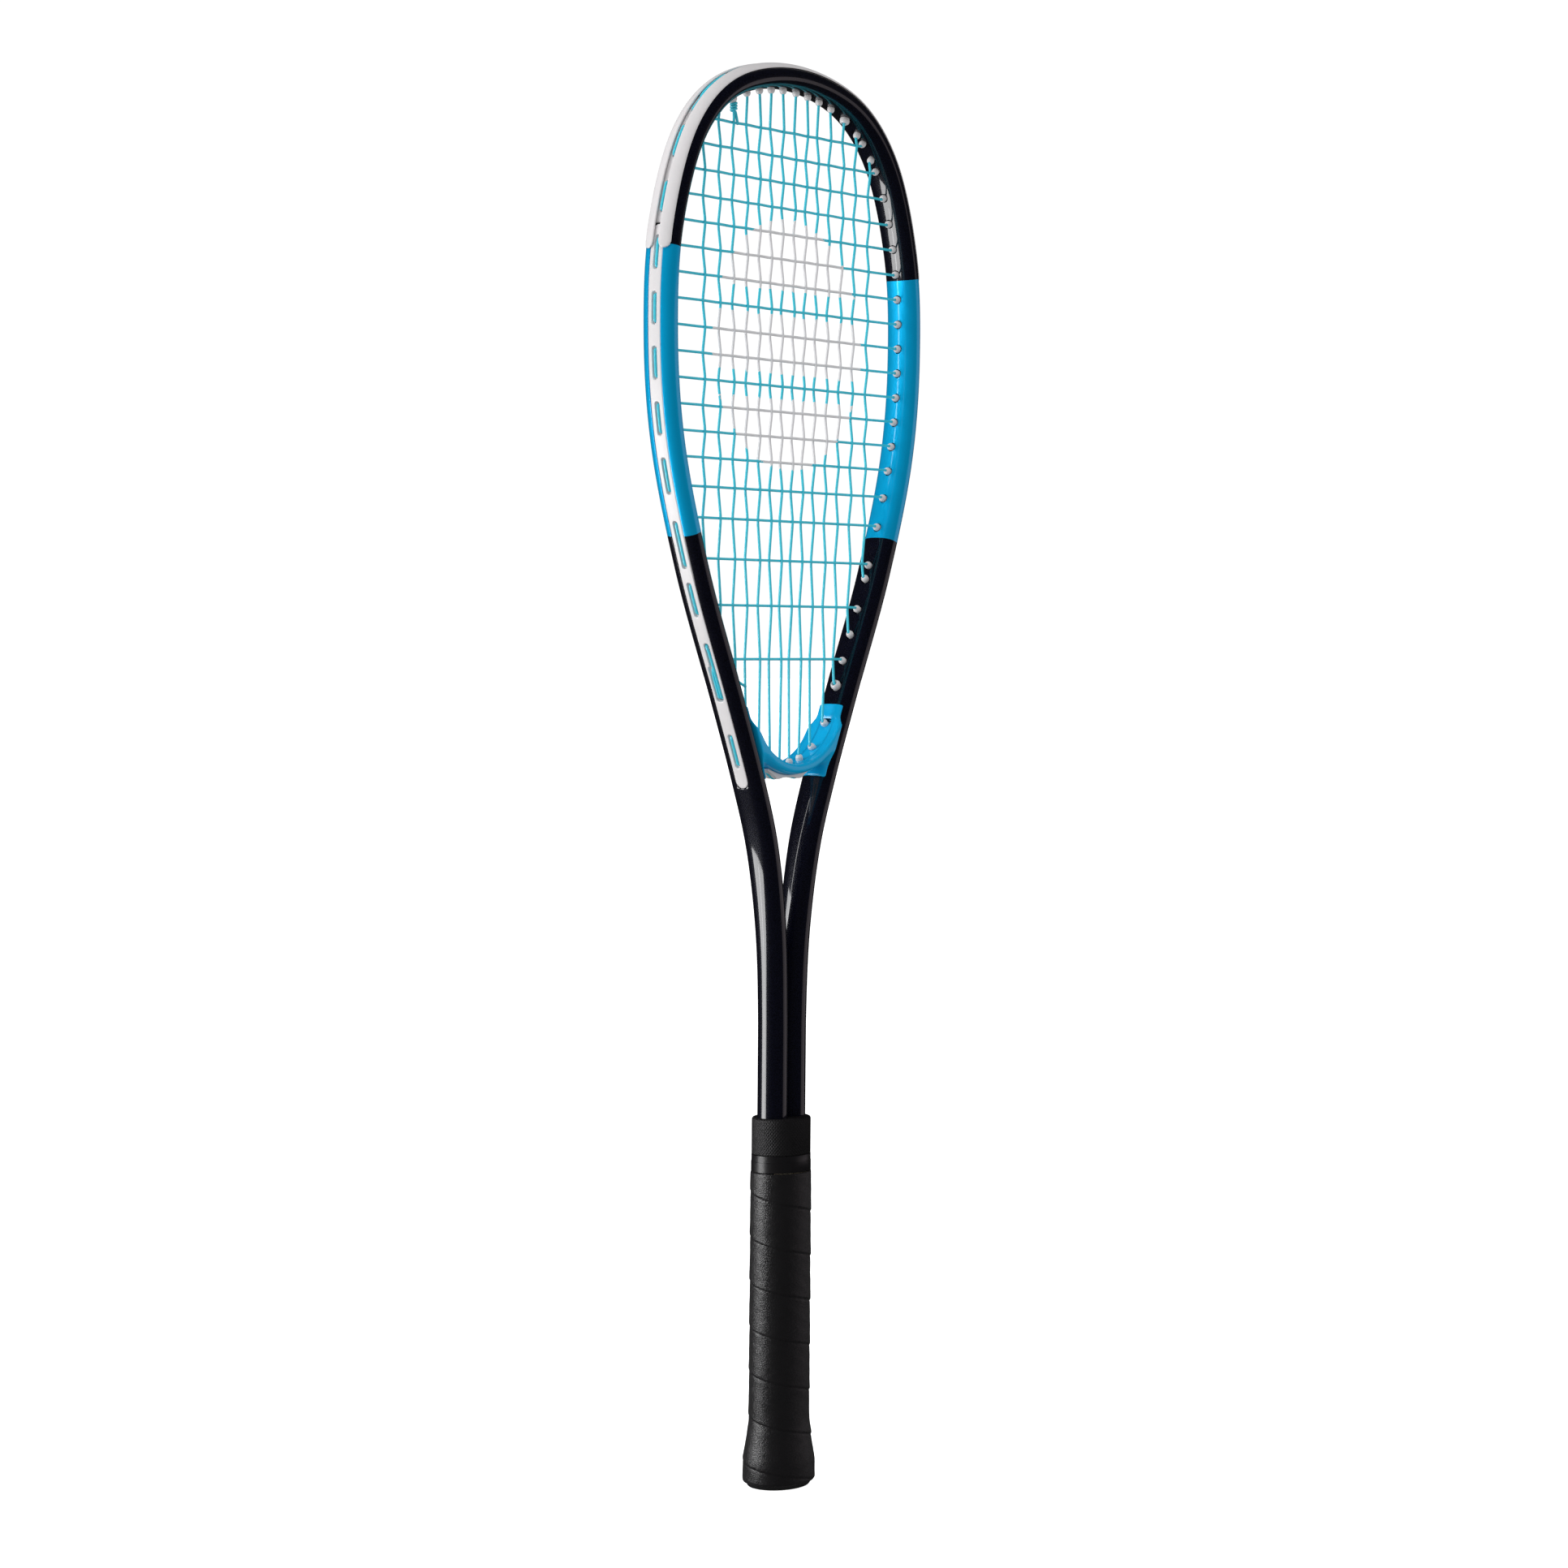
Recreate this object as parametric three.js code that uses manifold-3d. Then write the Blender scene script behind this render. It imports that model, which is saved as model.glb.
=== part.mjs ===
// Squash racket: a bent aluminium tube with a moulded throat bridge, a head bumper and grommet
// strips, one string woven through them, and a handle built up round the tube's two legs.
// Millimetres. X runs across the head, Y is square to the strings, Z runs up the handle to the
// head's tip, and the origin is the middle of the butt's end face.
import * as THREE from "three";
import { mergeVertices } from "three/addons/utils/BufferGeometryUtils.js";
import Module from "manifold-3d";

const manifold = await Module();
manifold.setup();

// ---- Driving dimensions --------------------------------------------------------------------

const GAP = 0.3; // between touching pieces

// The tube: an upright oval in the head, round in the shaft, one size of stock all the way.
const WALL = 0.8;
const HEAD_HALF_WIDTH = 5.5; // in the head's plane
const HEAD_HALF_DEPTH = 8.7; // square to it
const SHAFT_RADIUS = 7.3;
const LEG_X = 7.45; // half the distance between the two legs
const LEG_END_Z = 12; // the legs' open ends, inside the butt cap
const SHAFT_TOP_Z = 225; // where the legs start to part
const THROAT_TOP_Z = 350; // where the tube has its full head section
const GROOVE_HALF_WIDTH = 3.85;
const GROOVE_DEPTH = 2.1;
const GROOVE_END_Z = 334; // both ends of the groove in the tube's outer face
const GROOVE_FADE = 5;

// Right half of the tube's centreline, (x, z) from the shaft to the crown.
const HALF_OUTLINE = [
  [LEG_X, SHAFT_TOP_Z],
  [9.8, 270],
  [17.5, 311],
  [29.2, 343],
  [46.4, 382],
  [74.4, 443],
  [93.7, 502],
  [99.2, 552],
  [95.6, 600],
  [77.6, 645],
  [50, 668.4],
  [0, 678.3],
];

// The string bed: the 14 mains' distances from the middle at each end, and the 19 crosses' heights.
const STRING_RADIUS = 0.6;
const WEAVE = 1.3; // how far a main bows to pass a cross
const MAIN_TOP_X = [5.2, 14.7, 24, 33.9, 45.4, 55.6, 67.4];
const MAIN_LOW_X = [3.9, 11.8, 20.9, 31.3, 40.8, 52.7, 65.2];
const TOP_CROSS_Z = 652.6;
const CROSS_PITCHES = [...Array(13).fill(12.15), 13.5, 14.5, 19, 21.7, 25.5];
const LANE = 1.4; // outer runs lie this far to one side, so that two can pass
const SHARED_SIDE = 0.8; // the same inside a hole that two strands share

// Grommets: each string hole carries a barrel, and a hole shared by two strands a wider one.
const STRIP_HALF_WIDTH = 3.55;
const STRIP_FLOOR = HEAD_HALF_WIDTH - GROOVE_DEPTH + GAP;
const STRIP_TOP = STRIP_FLOOR + 1.1;
const STRIP_LOW_Z = 338.5;
const BARREL = { bore: 1.05, outside: 1.6, hole: 2.1, sides: 5 };
const WIDE_BARREL = { bore: 1.85, outside: 2.35, hole: 2.85, sides: 6 };
const BARREL_PROUD = 1.5; // beyond the tube's inner face
const BEND_CLEAR = 1; // from the barrel's tip to the string's bend
const HOLE_LEAN = 0.2; // how much a hole leans from the tube's normal towards its string
const CHEEK_LEAN = 0.1; // the same for holes that also go through the bridge
const DRILL_BACK = 3; // how far a drilled hole's cutter passes the barrel's tip
const DRILL_AHEAD = 10; // and the tube's centreline

// The bumper over the crown, between its two ends.
const BUMPER_END_Z = 588;
const BUMPER_TOP = 6.7;
const BUMPER_SKIRT = 7.6; // half its width over the tube

// The bridge: an arc about a centre above it, saddled onto both rails.
const BRIDGE_CENTRE = new THREE.Vector3(0, 0, 389);
const BRIDGE_INNER_RADIUS = 39;
const BRIDGE_THICKNESS = 5;
const BRIDGE_HALF_DEPTH = 9.7;
const BRIDGE_FREE_ANGLE = 0.43; // of the underside that shows between the cheeks
const CHEEK_TOP_Z = 378.5;
const CHEEK_LOW_Z = 339.5;
const CHEEK_FOOT = { inwards: 9, rise: 2 }; // from the rail's middle to where the underside starts
const BRIDGE_STRIP_THICKNESS = 1.2;

// The handle: oval all the way, with its depth in a fixed ratio to its width.
const HANDLE_RATIO = 0.81;
const HANDLE_CORE = 14.75; // half width of the tube's two legs side by side
const GRIP_INSIDE = HANDLE_CORE + GAP;
const GRIP_THICKNESS = 1.6;
const GRIP_LOW_Z = 2.2;
const GRIP_TOP_Z = 153.2;
const TAPE_TOP_Z = 161.5;
const COLLAR_TOP_Z = 179.5;
const PALLET_LOW_Z = 4;
const PALLET_TOP_Z = 160.5;
const PALLET_HALF_WIDTH = 12.8;
const CAP_TOP_Z = 27;
const CAP_FLARE_Z = 13; // where the cap is widest
const CAP_FLARE = 3;
const CAP_FLOOR = 3;

const OVAL_SIDES = 24; // round the handle

// ---- Geometry helpers ----------------------------------------------------------------------

const vec = (x, y, z) => new THREE.Vector3(x, y, z);
const mirrored = (v) => vec(-v.x, v.y, v.z);
const zip = (a, b) => a.map((item, i) => [item, b[i]]);

// A closed geometry as a manifold-3d solid.
function solid(geometry) {
  const bare = geometry.clone();
  bare.deleteAttribute("normal");
  bare.deleteAttribute("uv");
  const merged = mergeVertices(bare, 1e-4);
  return new manifold.Manifold(
    new manifold.Mesh({
      numProp: 3,
      vertProperties: new Float32Array(merged.attributes.position.array),
      triVerts: new Uint32Array(merged.index.array),
    }),
  );
}

// A manifold-3d solid as a geometry.
function geometryOf(body) {
  const mesh = body.getMesh();
  const geometry = new THREE.BufferGeometry();
  geometry.setAttribute("position", new THREE.BufferAttribute(mesh.vertProperties, 3));
  geometry.setIndex(new THREE.BufferAttribute(mesh.triVerts, 1));
  const flat = geometry.toNonIndexed();
  flat.computeVertexNormals();
  return flat;
}

const join = (bodies) => bodies.reduce((whole, body) => whole.add(body));
const cut = (body, tools) => tools.reduce((rest, tool) => rest.subtract(tool), body);

// A closed solid through rings of points, which turn left seen against the direction of travel.
// `section` is one ring in its own plane, and says how the end caps are cut into triangles.
function loft(rings, section) {
  const sides = section.length;
  const index = [];
  for (let r = 0; r + 1 < rings.length; r += 1) {
    for (let i = 0; i < sides; i += 1) {
      const a = r * sides + i;
      const b = r * sides + ((i + 1) % sides);
      index.push(a, b, a + sides, b, b + sides, a + sides);
    }
  }
  const last = (rings.length - 1) * sides;
  for (const [a, b, c] of THREE.ShapeUtils.triangulateShape(section, [])) {
    index.push(a, c, b);
    index.push(last + a, last + b, last + c);
  }
  const geometry = new THREE.BufferGeometry().setFromPoints(rings.flat());
  geometry.setIndex(index);
  return solid(geometry);
}

// A prism along `direction`, reaching `back` and `ahead` of a point.
function prism(point, direction, radius, sides, back, ahead) {
  const geometry = new THREE.CylinderGeometry(radius, radius, back + ahead, sides);
  geometry.translate(0, (ahead - back) / 2, 0);
  geometry.applyQuaternion(new THREE.Quaternion().setFromUnitVectors(vec(0, 1, 0), direction));
  geometry.translate(point.x, point.y, point.z);
  return solid(geometry);
}

// A box between two corners.
function block(low, high) {
  const size = high.clone().sub(low);
  const geometry = new THREE.BoxGeometry(size.x, size.y, size.z);
  const middle = low.clone().add(high).multiplyScalar(0.5);
  geometry.translate(middle.x, middle.y, middle.z);
  return solid(geometry);
}

// An oval solid of revolution from (half width, z) points, which close on themselves.
function oval(profile) {
  const closed = [...profile, profile[0]].map(([radius, z]) => new THREE.Vector2(radius, z));
  const geometry = new THREE.LatheGeometry(closed, OVAL_SIDES);
  geometry.rotateX(Math.PI / 2);
  geometry.scale(1, HANDLE_RATIO, 1);
  return solid(geometry);
}

// ---- The tube's centreline -----------------------------------------------------------------

const rightHalf = HALF_OUTLINE.map(([x, z]) => vec(x, 0, z));
const hoop = new THREE.CatmullRomCurve3(
  [...rightHalf, ...rightHalf.slice(0, -1).reverse().map(mirrored)],
  false,
  "centripetal",
);
hoop.arcLengthDivisions = 2000;

// A place on the hoop: u runs from the right leg over the crown to the left leg.
function station(u) {
  const along = hoop.getTangentAt(u);
  return { u, centre: hoop.getPointAt(u), along, outward: vec(along.z, 0, -along.x) };
}

// The u between two others at which a rising measure reaches zero.
function solve(measure, low, high) {
  let [a, b] = [low, high];
  for (let i = 0; i < 40; i += 1) {
    const middle = (a + b) / 2;
    if (measure(middle) < 0) a = middle;
    else b = middle;
  }
  return (a + b) / 2;
}

const CROWN_U = 0.5;
const WIDEST_Z = 556;
const heightAt = (u) => station(u).centre.z;
const WIDEST_U = solve((u) => heightAt(u) - WIDEST_Z, 0, CROWN_U);
const uAtHeight = (z) => solve((u) => heightAt(u) - z, 0, CROWN_U);

// The places at which every sweep along the hoop has a ring, so that neighbours keep their gaps.
const HOOP_STEPS = 60;

const grooveEnds = [GROOVE_END_Z - GROOVE_FADE, GROOVE_END_Z].map(uAtHeight);
const SHARED_U = [
  ...Array.from({ length: HOOP_STEPS + 1 }, (_, i) => i / HOOP_STEPS),
  ...grooveEnds.flatMap((u) => [u, 1 - u]),
].toSorted((a, b) => a - b);

function stationsBetween(from, to) {
  const margin = 0.2 / HOOP_STEPS;
  const inner = SHARED_U.filter((u) => u > from + margin && u < to - margin);
  return [from, ...inner, to].map(station);
}

// ---- The tube ------------------------------------------------------------------------------

const OUTER_ANGLES = [0.85, 1.3, 1.84, 2.3, 2.75];
const CAVITY_ANGLES = [1.25, 2.1];

// Half width, half depth and groove depth of the tube at a height.
function tubeSize(z) {
  const head = THREE.MathUtils.smoothstep(z, SHAFT_TOP_Z, THROAT_TOP_Z);
  return {
    width: THREE.MathUtils.lerp(SHAFT_RADIUS, HEAD_HALF_WIDTH, head),
    depth: THREE.MathUtils.lerp(SHAFT_RADIUS, HEAD_HALF_DEPTH, head),
    groove: GROOVE_DEPTH * THREE.MathUtils.smoothstep(z, GROOVE_END_Z - GROOVE_FADE, GROOVE_END_Z),
  };
}

// A ring of (outward, side) points: half of it is listed and the other half is its mirror.
function wholeRing(half, far) {
  const mirror = half.toReversed().map(([n, y]) => [n, -y]);
  return [...half, [-far, 0], ...mirror].map(([n, y]) => new THREE.Vector2(n, y));
}

function outerRing({ width, depth, groove }, grown = 0) {
  const [a, b] = [width + grown, depth + grown];
  const faceAt = (y) => a * Math.sqrt(1 - (y / b) ** 2);
  const foot = GROOVE_HALF_WIDTH - 0.2;
  const floor = Math.min(faceAt(foot), a - groove);
  const round = OUTER_ANGLES.map((angle) => [a * Math.cos(angle), b * Math.sin(angle)]);
  const half = [[floor, foot], [faceAt(GROOVE_HALF_WIDTH), GROOVE_HALF_WIDTH], ...round];
  return wholeRing(half, a);
}

function cavityRing({ width, depth, groove }) {
  const [a, b] = [width - WALL, depth - WALL];
  const side = GROOVE_HALF_WIDTH + WALL;
  const open = a * Math.sqrt(1 - (side / b) ** 2);
  const half = CAVITY_ANGLES.map((angle) => [a * Math.cos(angle), b * Math.sin(angle)]);
  return wholeRing([[Math.min(open, width - groove - WALL), side], ...half], a);
}

// A ring laid round a place on the centreline.
function placed(ring, { centre, outward }) {
  return ring.map(({ x, y }) => centre.clone().addScaledVector(outward, x).setY(y));
}

// The tube's outer or inner skin as a solid, from leg end to leg end. `past` lengthens both ends.
function tubeSolid(ringOf, past = 0) {
  const leg = (side) => ({ centre: vec(side * LEG_X, 0, LEG_END_Z - past), outward: vec(side, 0, 0) });
  const stations = [leg(1), ...stationsBetween(0, 1), leg(-1)];
  const rings = stations.map((place) => placed(ringOf(tubeSize(place.centre.z)), place));
  return loft(rings, ringOf(tubeSize(LEG_END_Z)));
}

function frameTube(holes) {
  const shell = tubeSolid(outerRing).subtract(tubeSolid(cavityRing, 1));
  return cut(shell, holes.map(drillOf));
}

// ---- String holes --------------------------------------------------------------------------

const UP = vec(0, 0, 1);
const DOWN = vec(0, 0, -1);
const RIGHT = vec(1, 0, 0);

// Where a line from `point` against `direction` comes out of the bridge's inner face.
function backToBridge(point, direction) {
  const from = point.clone().sub(BRIDGE_CENTRE);
  const lean = from.dot(direction);
  return lean - Math.sqrt(lean ** 2 - from.lengthSq() + BRIDGE_INNER_RADIUS ** 2);
}

// A hole through a wall at `place`, leaning towards the string that arrives along `heading`.
function holeThrough(place, heading, lean, inside, outside, barrel) {
  const direction = place.outward.clone().addScaledVector(heading, lean).normalize();
  const slant = direction.dot(place.outward);
  const inner = inside(place.centre, direction, slant) + BARREL_PROUD;
  const at = (distance) => place.centre.clone().addScaledVector(direction, distance);
  return {
    ...place,
    direction,
    barrel,
    inner,
    bend: at(-inner - BEND_CLEAR),
    exit: at(outside / slant),
    floor: (offset) => offset / slant,
  };
}

const RUN_OFFSET = STRIP_TOP + GAP + STRING_RADIUS;

// Below the cheeks' top a hole also goes through the bridge.
function tubeHole(u, heading, barrel = BARREL) {
  const inside = (point, direction, slant) => {
    const wall = HEAD_HALF_WIDTH / slant;
    return point.z < CHEEK_TOP_Z ? Math.max(wall, backToBridge(point, direction)) : wall;
  };
  const place = { ...station(u), onBridge: false };
  const lean = place.centre.z < CHEEK_TOP_Z ? CHEEK_LEAN : HOLE_LEAN;
  return holeThrough(place, heading, lean, inside, RUN_OFFSET, barrel);
}

const BRIDGE_MIDDLE = BRIDGE_INNER_RADIUS + BRIDGE_THICKNESS / 2;
const BRIDGE_RUN_OFFSET = BRIDGE_THICKNESS / 2 + GAP + BRIDGE_STRIP_THICKNESS + GAP + STRING_RADIUS;

// A place on the bridge: the angle grows from the middle towards the right rail.
function bridgeStation(angle) {
  const outward = vec(Math.sin(angle), 0, -Math.cos(angle));
  const along = vec(Math.cos(angle), 0, Math.sin(angle));
  return { angle, centre: BRIDGE_CENTRE.clone().addScaledVector(outward, BRIDGE_MIDDLE), along, outward };
}

function bridgeHole(angle) {
  const inside = (point, direction, slant) => BRIDGE_THICKNESS / 2 / slant;
  const place = { ...bridgeStation(angle), onBridge: true };
  return holeThrough(place, DOWN, HOLE_LEAN, inside, BRIDGE_RUN_OFFSET, BARREL);
}

// The same hole on the left, where u and the angle run the other way.
function mirrorHole(hole) {
  const turned = hole.onBridge ? { angle: -hole.angle } : { u: 1 - hole.u };
  return {
    ...hole,
    ...turned,
    centre: mirrored(hole.centre),
    along: vec(hole.along.x, 0, -hole.along.z),
    outward: mirrored(hole.outward),
    direction: mirrored(hole.direction),
    bend: mirrored(hole.bend),
    exit: mirrored(hole.exit),
  };
}

const drillOf = (hole) =>
  prism(
    hole.centre,
    hole.direction,
    hole.barrel.hole,
    hole.barrel.sides,
    hole.inner + DRILL_BACK,
    DRILL_AHEAD,
  );

// The string's two ends are tied off at the third main from the left. The third main from each
// side has wider holes, so that the racket can be strung either way round.
const TIE_MAIN = 2;
const barrelOf = (i) => (i === MAIN_TOP_X.length - 1 - TIE_MAIN ? WIDE_BARREL : BARREL);

// The right-hand half of the pattern, from the middle outwards and from the top down.
const topHoles = MAIN_TOP_X.map((x, i) =>
  tubeHole(solve((u) => x - tubeHole(u, UP).bend.x, WIDEST_U, CROWN_U), UP, barrelOf(i)),
);
const crossHeights = CROSS_PITCHES.reduce((z, pitch) => [...z, z.at(-1) - pitch], [TOP_CROSS_Z]);
const crossHoles = crossHeights.map((z) =>
  tubeHole(solve((u) => tubeHole(u, RIGHT).bend.z - z, uAtHeight(CHEEK_LOW_Z), CROWN_U - 0.05), RIGHT),
);
const BRIDGE_MAINS = 2; // on each side
const lowestU = uAtHeight(CHEEK_LOW_Z);
const bottomHoles = MAIN_LOW_X.map((x, i) =>
  i < BRIDGE_MAINS
    ? bridgeHole(solve((angle) => bridgeHole(angle).bend.x - x, 0, 1))
    : tubeHole(solve((u) => tubeHole(u, DOWN).bend.x - x, lowestU, WIDEST_U), DOWN, barrelOf(i)),
);

const acrossHead = (right) => [...right.map(mirrorHole).toReversed(), ...right];
const mains = zip(acrossHead(topHoles), acrossHead(bottomHoles)).map(([top, bottom], i) => ({
  top,
  bottom,
  tie: i === TIE_MAIN,
}));
const crosses = crossHoles.map((right) => ({ left: mirrorHole(right), right, z: right.bend.z }));

const bottoms = mains.map((main) => main.bottom);
const bridgeHoles = bottoms.filter((hole) => hole.onBridge);
const sideHoles = [
  ...crosses.flatMap((cross) => [cross.left, cross.right]),
  ...bottoms.filter((hole) => !hole.onBridge),
];
const crownHoles = mains.map((main) => main.top);
const tubeHoles = [...crownHoles, ...sideHoles];

// ---- Grommets, bumper and bridge -----------------------------------------------------------

// Adds a barrel at each hole to a strip, then bores them all. `floor` is the strip's base.
function withBarrels(strip, holes, floor, top) {
  const barrels = holes.map((hole) =>
    prism(
      hole.centre,
      hole.direction,
      hole.barrel.outside,
      hole.barrel.sides,
      hole.inner,
      hole.floor(floor) + 0.5,
    ),
  );
  const bores = holes.map((hole) =>
    prism(
      hole.centre,
      hole.direction,
      hole.barrel.bore,
      hole.barrel.sides,
      hole.inner + 1,
      hole.floor(top) + 2,
    ),
  );
  return cut(join([strip, ...barrels]), bores);
}

// A strip along the hoop between two values of u. Its section is listed clockwise.
function hoopStrip(section, from, to) {
  const ring = section.toReversed().map(([n, y]) => new THREE.Vector2(n, y));
  const rings = stationsBetween(from, to).map((place) => placed(ring, place));
  return loft(rings, ring);
}

const bumperEndU = uAtHeight(BUMPER_END_Z);
const GAP_U = (GAP * 2) / hoop.getLength();

// The bumper lies over the tube's outer face, with a channel for the string and a tongue that
// fills the tube's groove.
function bumper() {
  const half = [
    [STRIP_FLOOR, STRIP_HALF_WIDTH],
    [HEAD_HALF_WIDTH, STRIP_HALF_WIDTH],
    [HEAD_HALF_WIDTH - 0.05, GROOVE_HALF_WIDTH + 0.3],
    [3.95, 6.8],
    [3, BUMPER_SKIRT],
    [3.8, BUMPER_SKIRT + 0.3],
    [5.3, 6.5],
    [BUMPER_TOP, 3.6],
    [STRIP_TOP, 2.4],
  ];
  const ring = [...half, ...half.toReversed().map(([n, y]) => [n, -y])];
  const strip = hoopStrip(ring, bumperEndU, 1 - bumperEndU);
  const holes = [...crownHoles, ...sideHoles].filter(isUnderBumper);
  return withBarrels(strip, holes, STRIP_FLOOR, STRIP_TOP);
}

const isUnderBumper = (hole) => hole.u > bumperEndU && hole.u < 1 - bumperEndU;

// A flat strip in the tube's groove from the bumper's end to the throat, on one side.
function sideStrip(isLeft) {
  const [low, high] = [uAtHeight(STRIP_LOW_Z), bumperEndU - GAP_U];
  const [from, to] = isLeft ? [1 - high, 1 - low] : [low, high];
  const section = [
    [STRIP_FLOOR, STRIP_HALF_WIDTH],
    [STRIP_TOP, STRIP_HALF_WIDTH],
    [STRIP_TOP, -STRIP_HALF_WIDTH],
    [STRIP_FLOOR, -STRIP_HALF_WIDTH],
  ];
  const holes = sideHoles.filter((hole) => hole.u > from && hole.u < to);
  return withBarrels(hoopStrip(section, from, to), holes, STRIP_FLOOR, STRIP_TOP);
}

const ARC_POINTS = 14;
const CHEEK_POINTS = 5; // along the rail

// Points on an arc about the bridge's centre, from one angle to another.
function bridgeArc(radius, from, to) {
  return Array.from({ length: ARC_POINTS + 1 }, (_, i) => {
    const angle = THREE.MathUtils.lerp(from, to, i / ARC_POINTS);
    return new THREE.Vector2(radius * Math.sin(angle), BRIDGE_CENTRE.z - radius * Math.cos(angle));
  });
}

// An outline in the head's plane, as a slab centred on that plane.
function slab(outline, halfDepth) {
  const geometry = new THREE.ExtrudeGeometry(new THREE.Shape(outline), {
    depth: halfDepth * 2,
    bevelEnabled: false,
  });
  geometry.rotateX(Math.PI / 2);
  geometry.translate(0, halfDepth, 0);
  return solid(geometry);
}

// The bridge reaches from the middle of one rail's face to the other's, less the rails.
function throatBridge(holes) {
  const inner = BRIDGE_INNER_RADIUS;
  const outer = inner + BRIDGE_THICKNESS;
  const cheekAngle = Math.acos((BRIDGE_CENTRE.z - CHEEK_TOP_Z) / inner);
  const railPoint = (z) => new THREE.Vector2(station(uAtHeight(z)).centre.x, z);
  const cheek = Array.from({ length: CHEEK_POINTS + 1 }, (_, i) =>
    railPoint(THREE.MathUtils.lerp(CHEEK_LOW_Z, CHEEK_TOP_Z, i / CHEEK_POINTS)),
  );
  const foot = new THREE.Vector2(cheek[0].x - CHEEK_FOOT.inwards, CHEEK_LOW_Z + CHEEK_FOOT.rise);
  const flip = ({ x, y }) => new THREE.Vector2(-x, y);
  const outline = [
    ...bridgeArc(outer, -BRIDGE_FREE_ANGLE, BRIDGE_FREE_ANGLE),
    foot,
    ...cheek,
    ...bridgeArc(inner, cheekAngle, -cheekAngle),
    ...cheek.toReversed().map(flip),
    flip(foot),
  ];
  const clearance = tubeSolid((size) => outerRing({ ...size, groove: 0 }, GAP));
  return cut(slab(outline, BRIDGE_HALF_DEPTH), [clearance, ...holes.map(drillOf)]);
}

// The strip under the bridge, with barrels up through it.
function bridgeStrip() {
  const inner = BRIDGE_INNER_RADIUS + BRIDGE_THICKNESS + GAP;
  const outer = inner + BRIDGE_STRIP_THICKNESS;
  const reach = BRIDGE_FREE_ANGLE - 0.02;
  const outline = [...bridgeArc(outer, -reach, reach), ...bridgeArc(inner, reach, -reach)];
  const [floor, top] = [inner, outer].map((radius) => radius - BRIDGE_MIDDLE);
  return withBarrels(slab(outline, STRIP_HALF_WIDTH), bridgeHoles, floor, top);
}

// ---- The string ----------------------------------------------------------------------------

const STRING_SIDES = 5;
const RUN_STEP = 12; // longest straight step on the hoop's outer face
const CORNER = 0.45; // how far below its run a strand starts to turn
const RUN_INSET = 1.6; // from a hole to where its run reaches its lane
const TAIL_LENGTH = 1;
const KNOT_RADIUS = 1.5;
const KNOT_INSET = 0.8; // from the bend to the knot's middle

// A curve with one step from each point to the next, so that a sweep's rings land on the points.
class StepCurve extends THREE.Curve {
  constructor(points) {
    super();
    this.points = points;
  }

  getPointAt(t, target = new THREE.Vector3()) {
    const at = t * (this.points.length - 1);
    const i = Math.min(Math.floor(at), this.points.length - 2);
    return target.lerpVectors(this.points[i], this.points[i + 1], at - i);
  }

  getTangentAt(t, target = new THREE.Vector3()) {
    const last = this.points.length - 1;
    const i = Math.round(t * last);
    const here = this.points[i];
    const before = here.clone().sub(this.points[Math.max(i - 1, 0)]).normalize();
    const after = this.points[Math.min(i + 1, last)].clone().sub(here).normalize();
    return target.addVectors(before, after).normalize();
  }
}

// A run on the outside from one hole to the next, in the lane at `y`.
function outerRun(from, to, y, fromY = 0, toY = 0) {
  const { onBridge } = from;
  const span = from.exit.distanceTo(to.exit);
  const steps = Math.ceil(span / RUN_STEP);
  const offsetPoint = (t) => {
    const place = onBridge
      ? bridgeStation(THREE.MathUtils.lerp(from.angle, to.angle, t))
      : station(THREE.MathUtils.lerp(from.u, to.u, t));
    const offset = onBridge ? BRIDGE_RUN_OFFSET : RUN_OFFSET;
    return place.centre.addScaledVector(place.outward, offset).setY(y);
  };
  const nearEnd = RUN_INSET / span;
  const middle = Array.from({ length: steps + 1 }, (_, i) =>
    offsetPoint(THREE.MathUtils.lerp(nearEnd, 1 - nearEnd, i / steps)),
  );
  const dip = (hole, sideY) => hole.exit.clone().addScaledVector(hole.direction, -CORNER).setY(sideY);
  return [dip(from, fromY), ...middle, dip(to, toY)];
}

// One main from its bottom bend to its top one, bowing over and under the crosses.
function mainSpan(main, index) {
  const low = main.bottom.bend;
  const high = main.top.bend;
  const xAt = (z) => THREE.MathUtils.mapLinear(z, low.z, high.z, low.x, high.x);
  const weave = crosses
    .map(({ z }, k) => vec(xAt(z), (index + k) % 2 ? WEAVE : -WEAVE, z))
    .filter((point) => point.z > low.z && point.z < high.z)
    .toReversed();
  return [low, ...weave, high];
}

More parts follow.
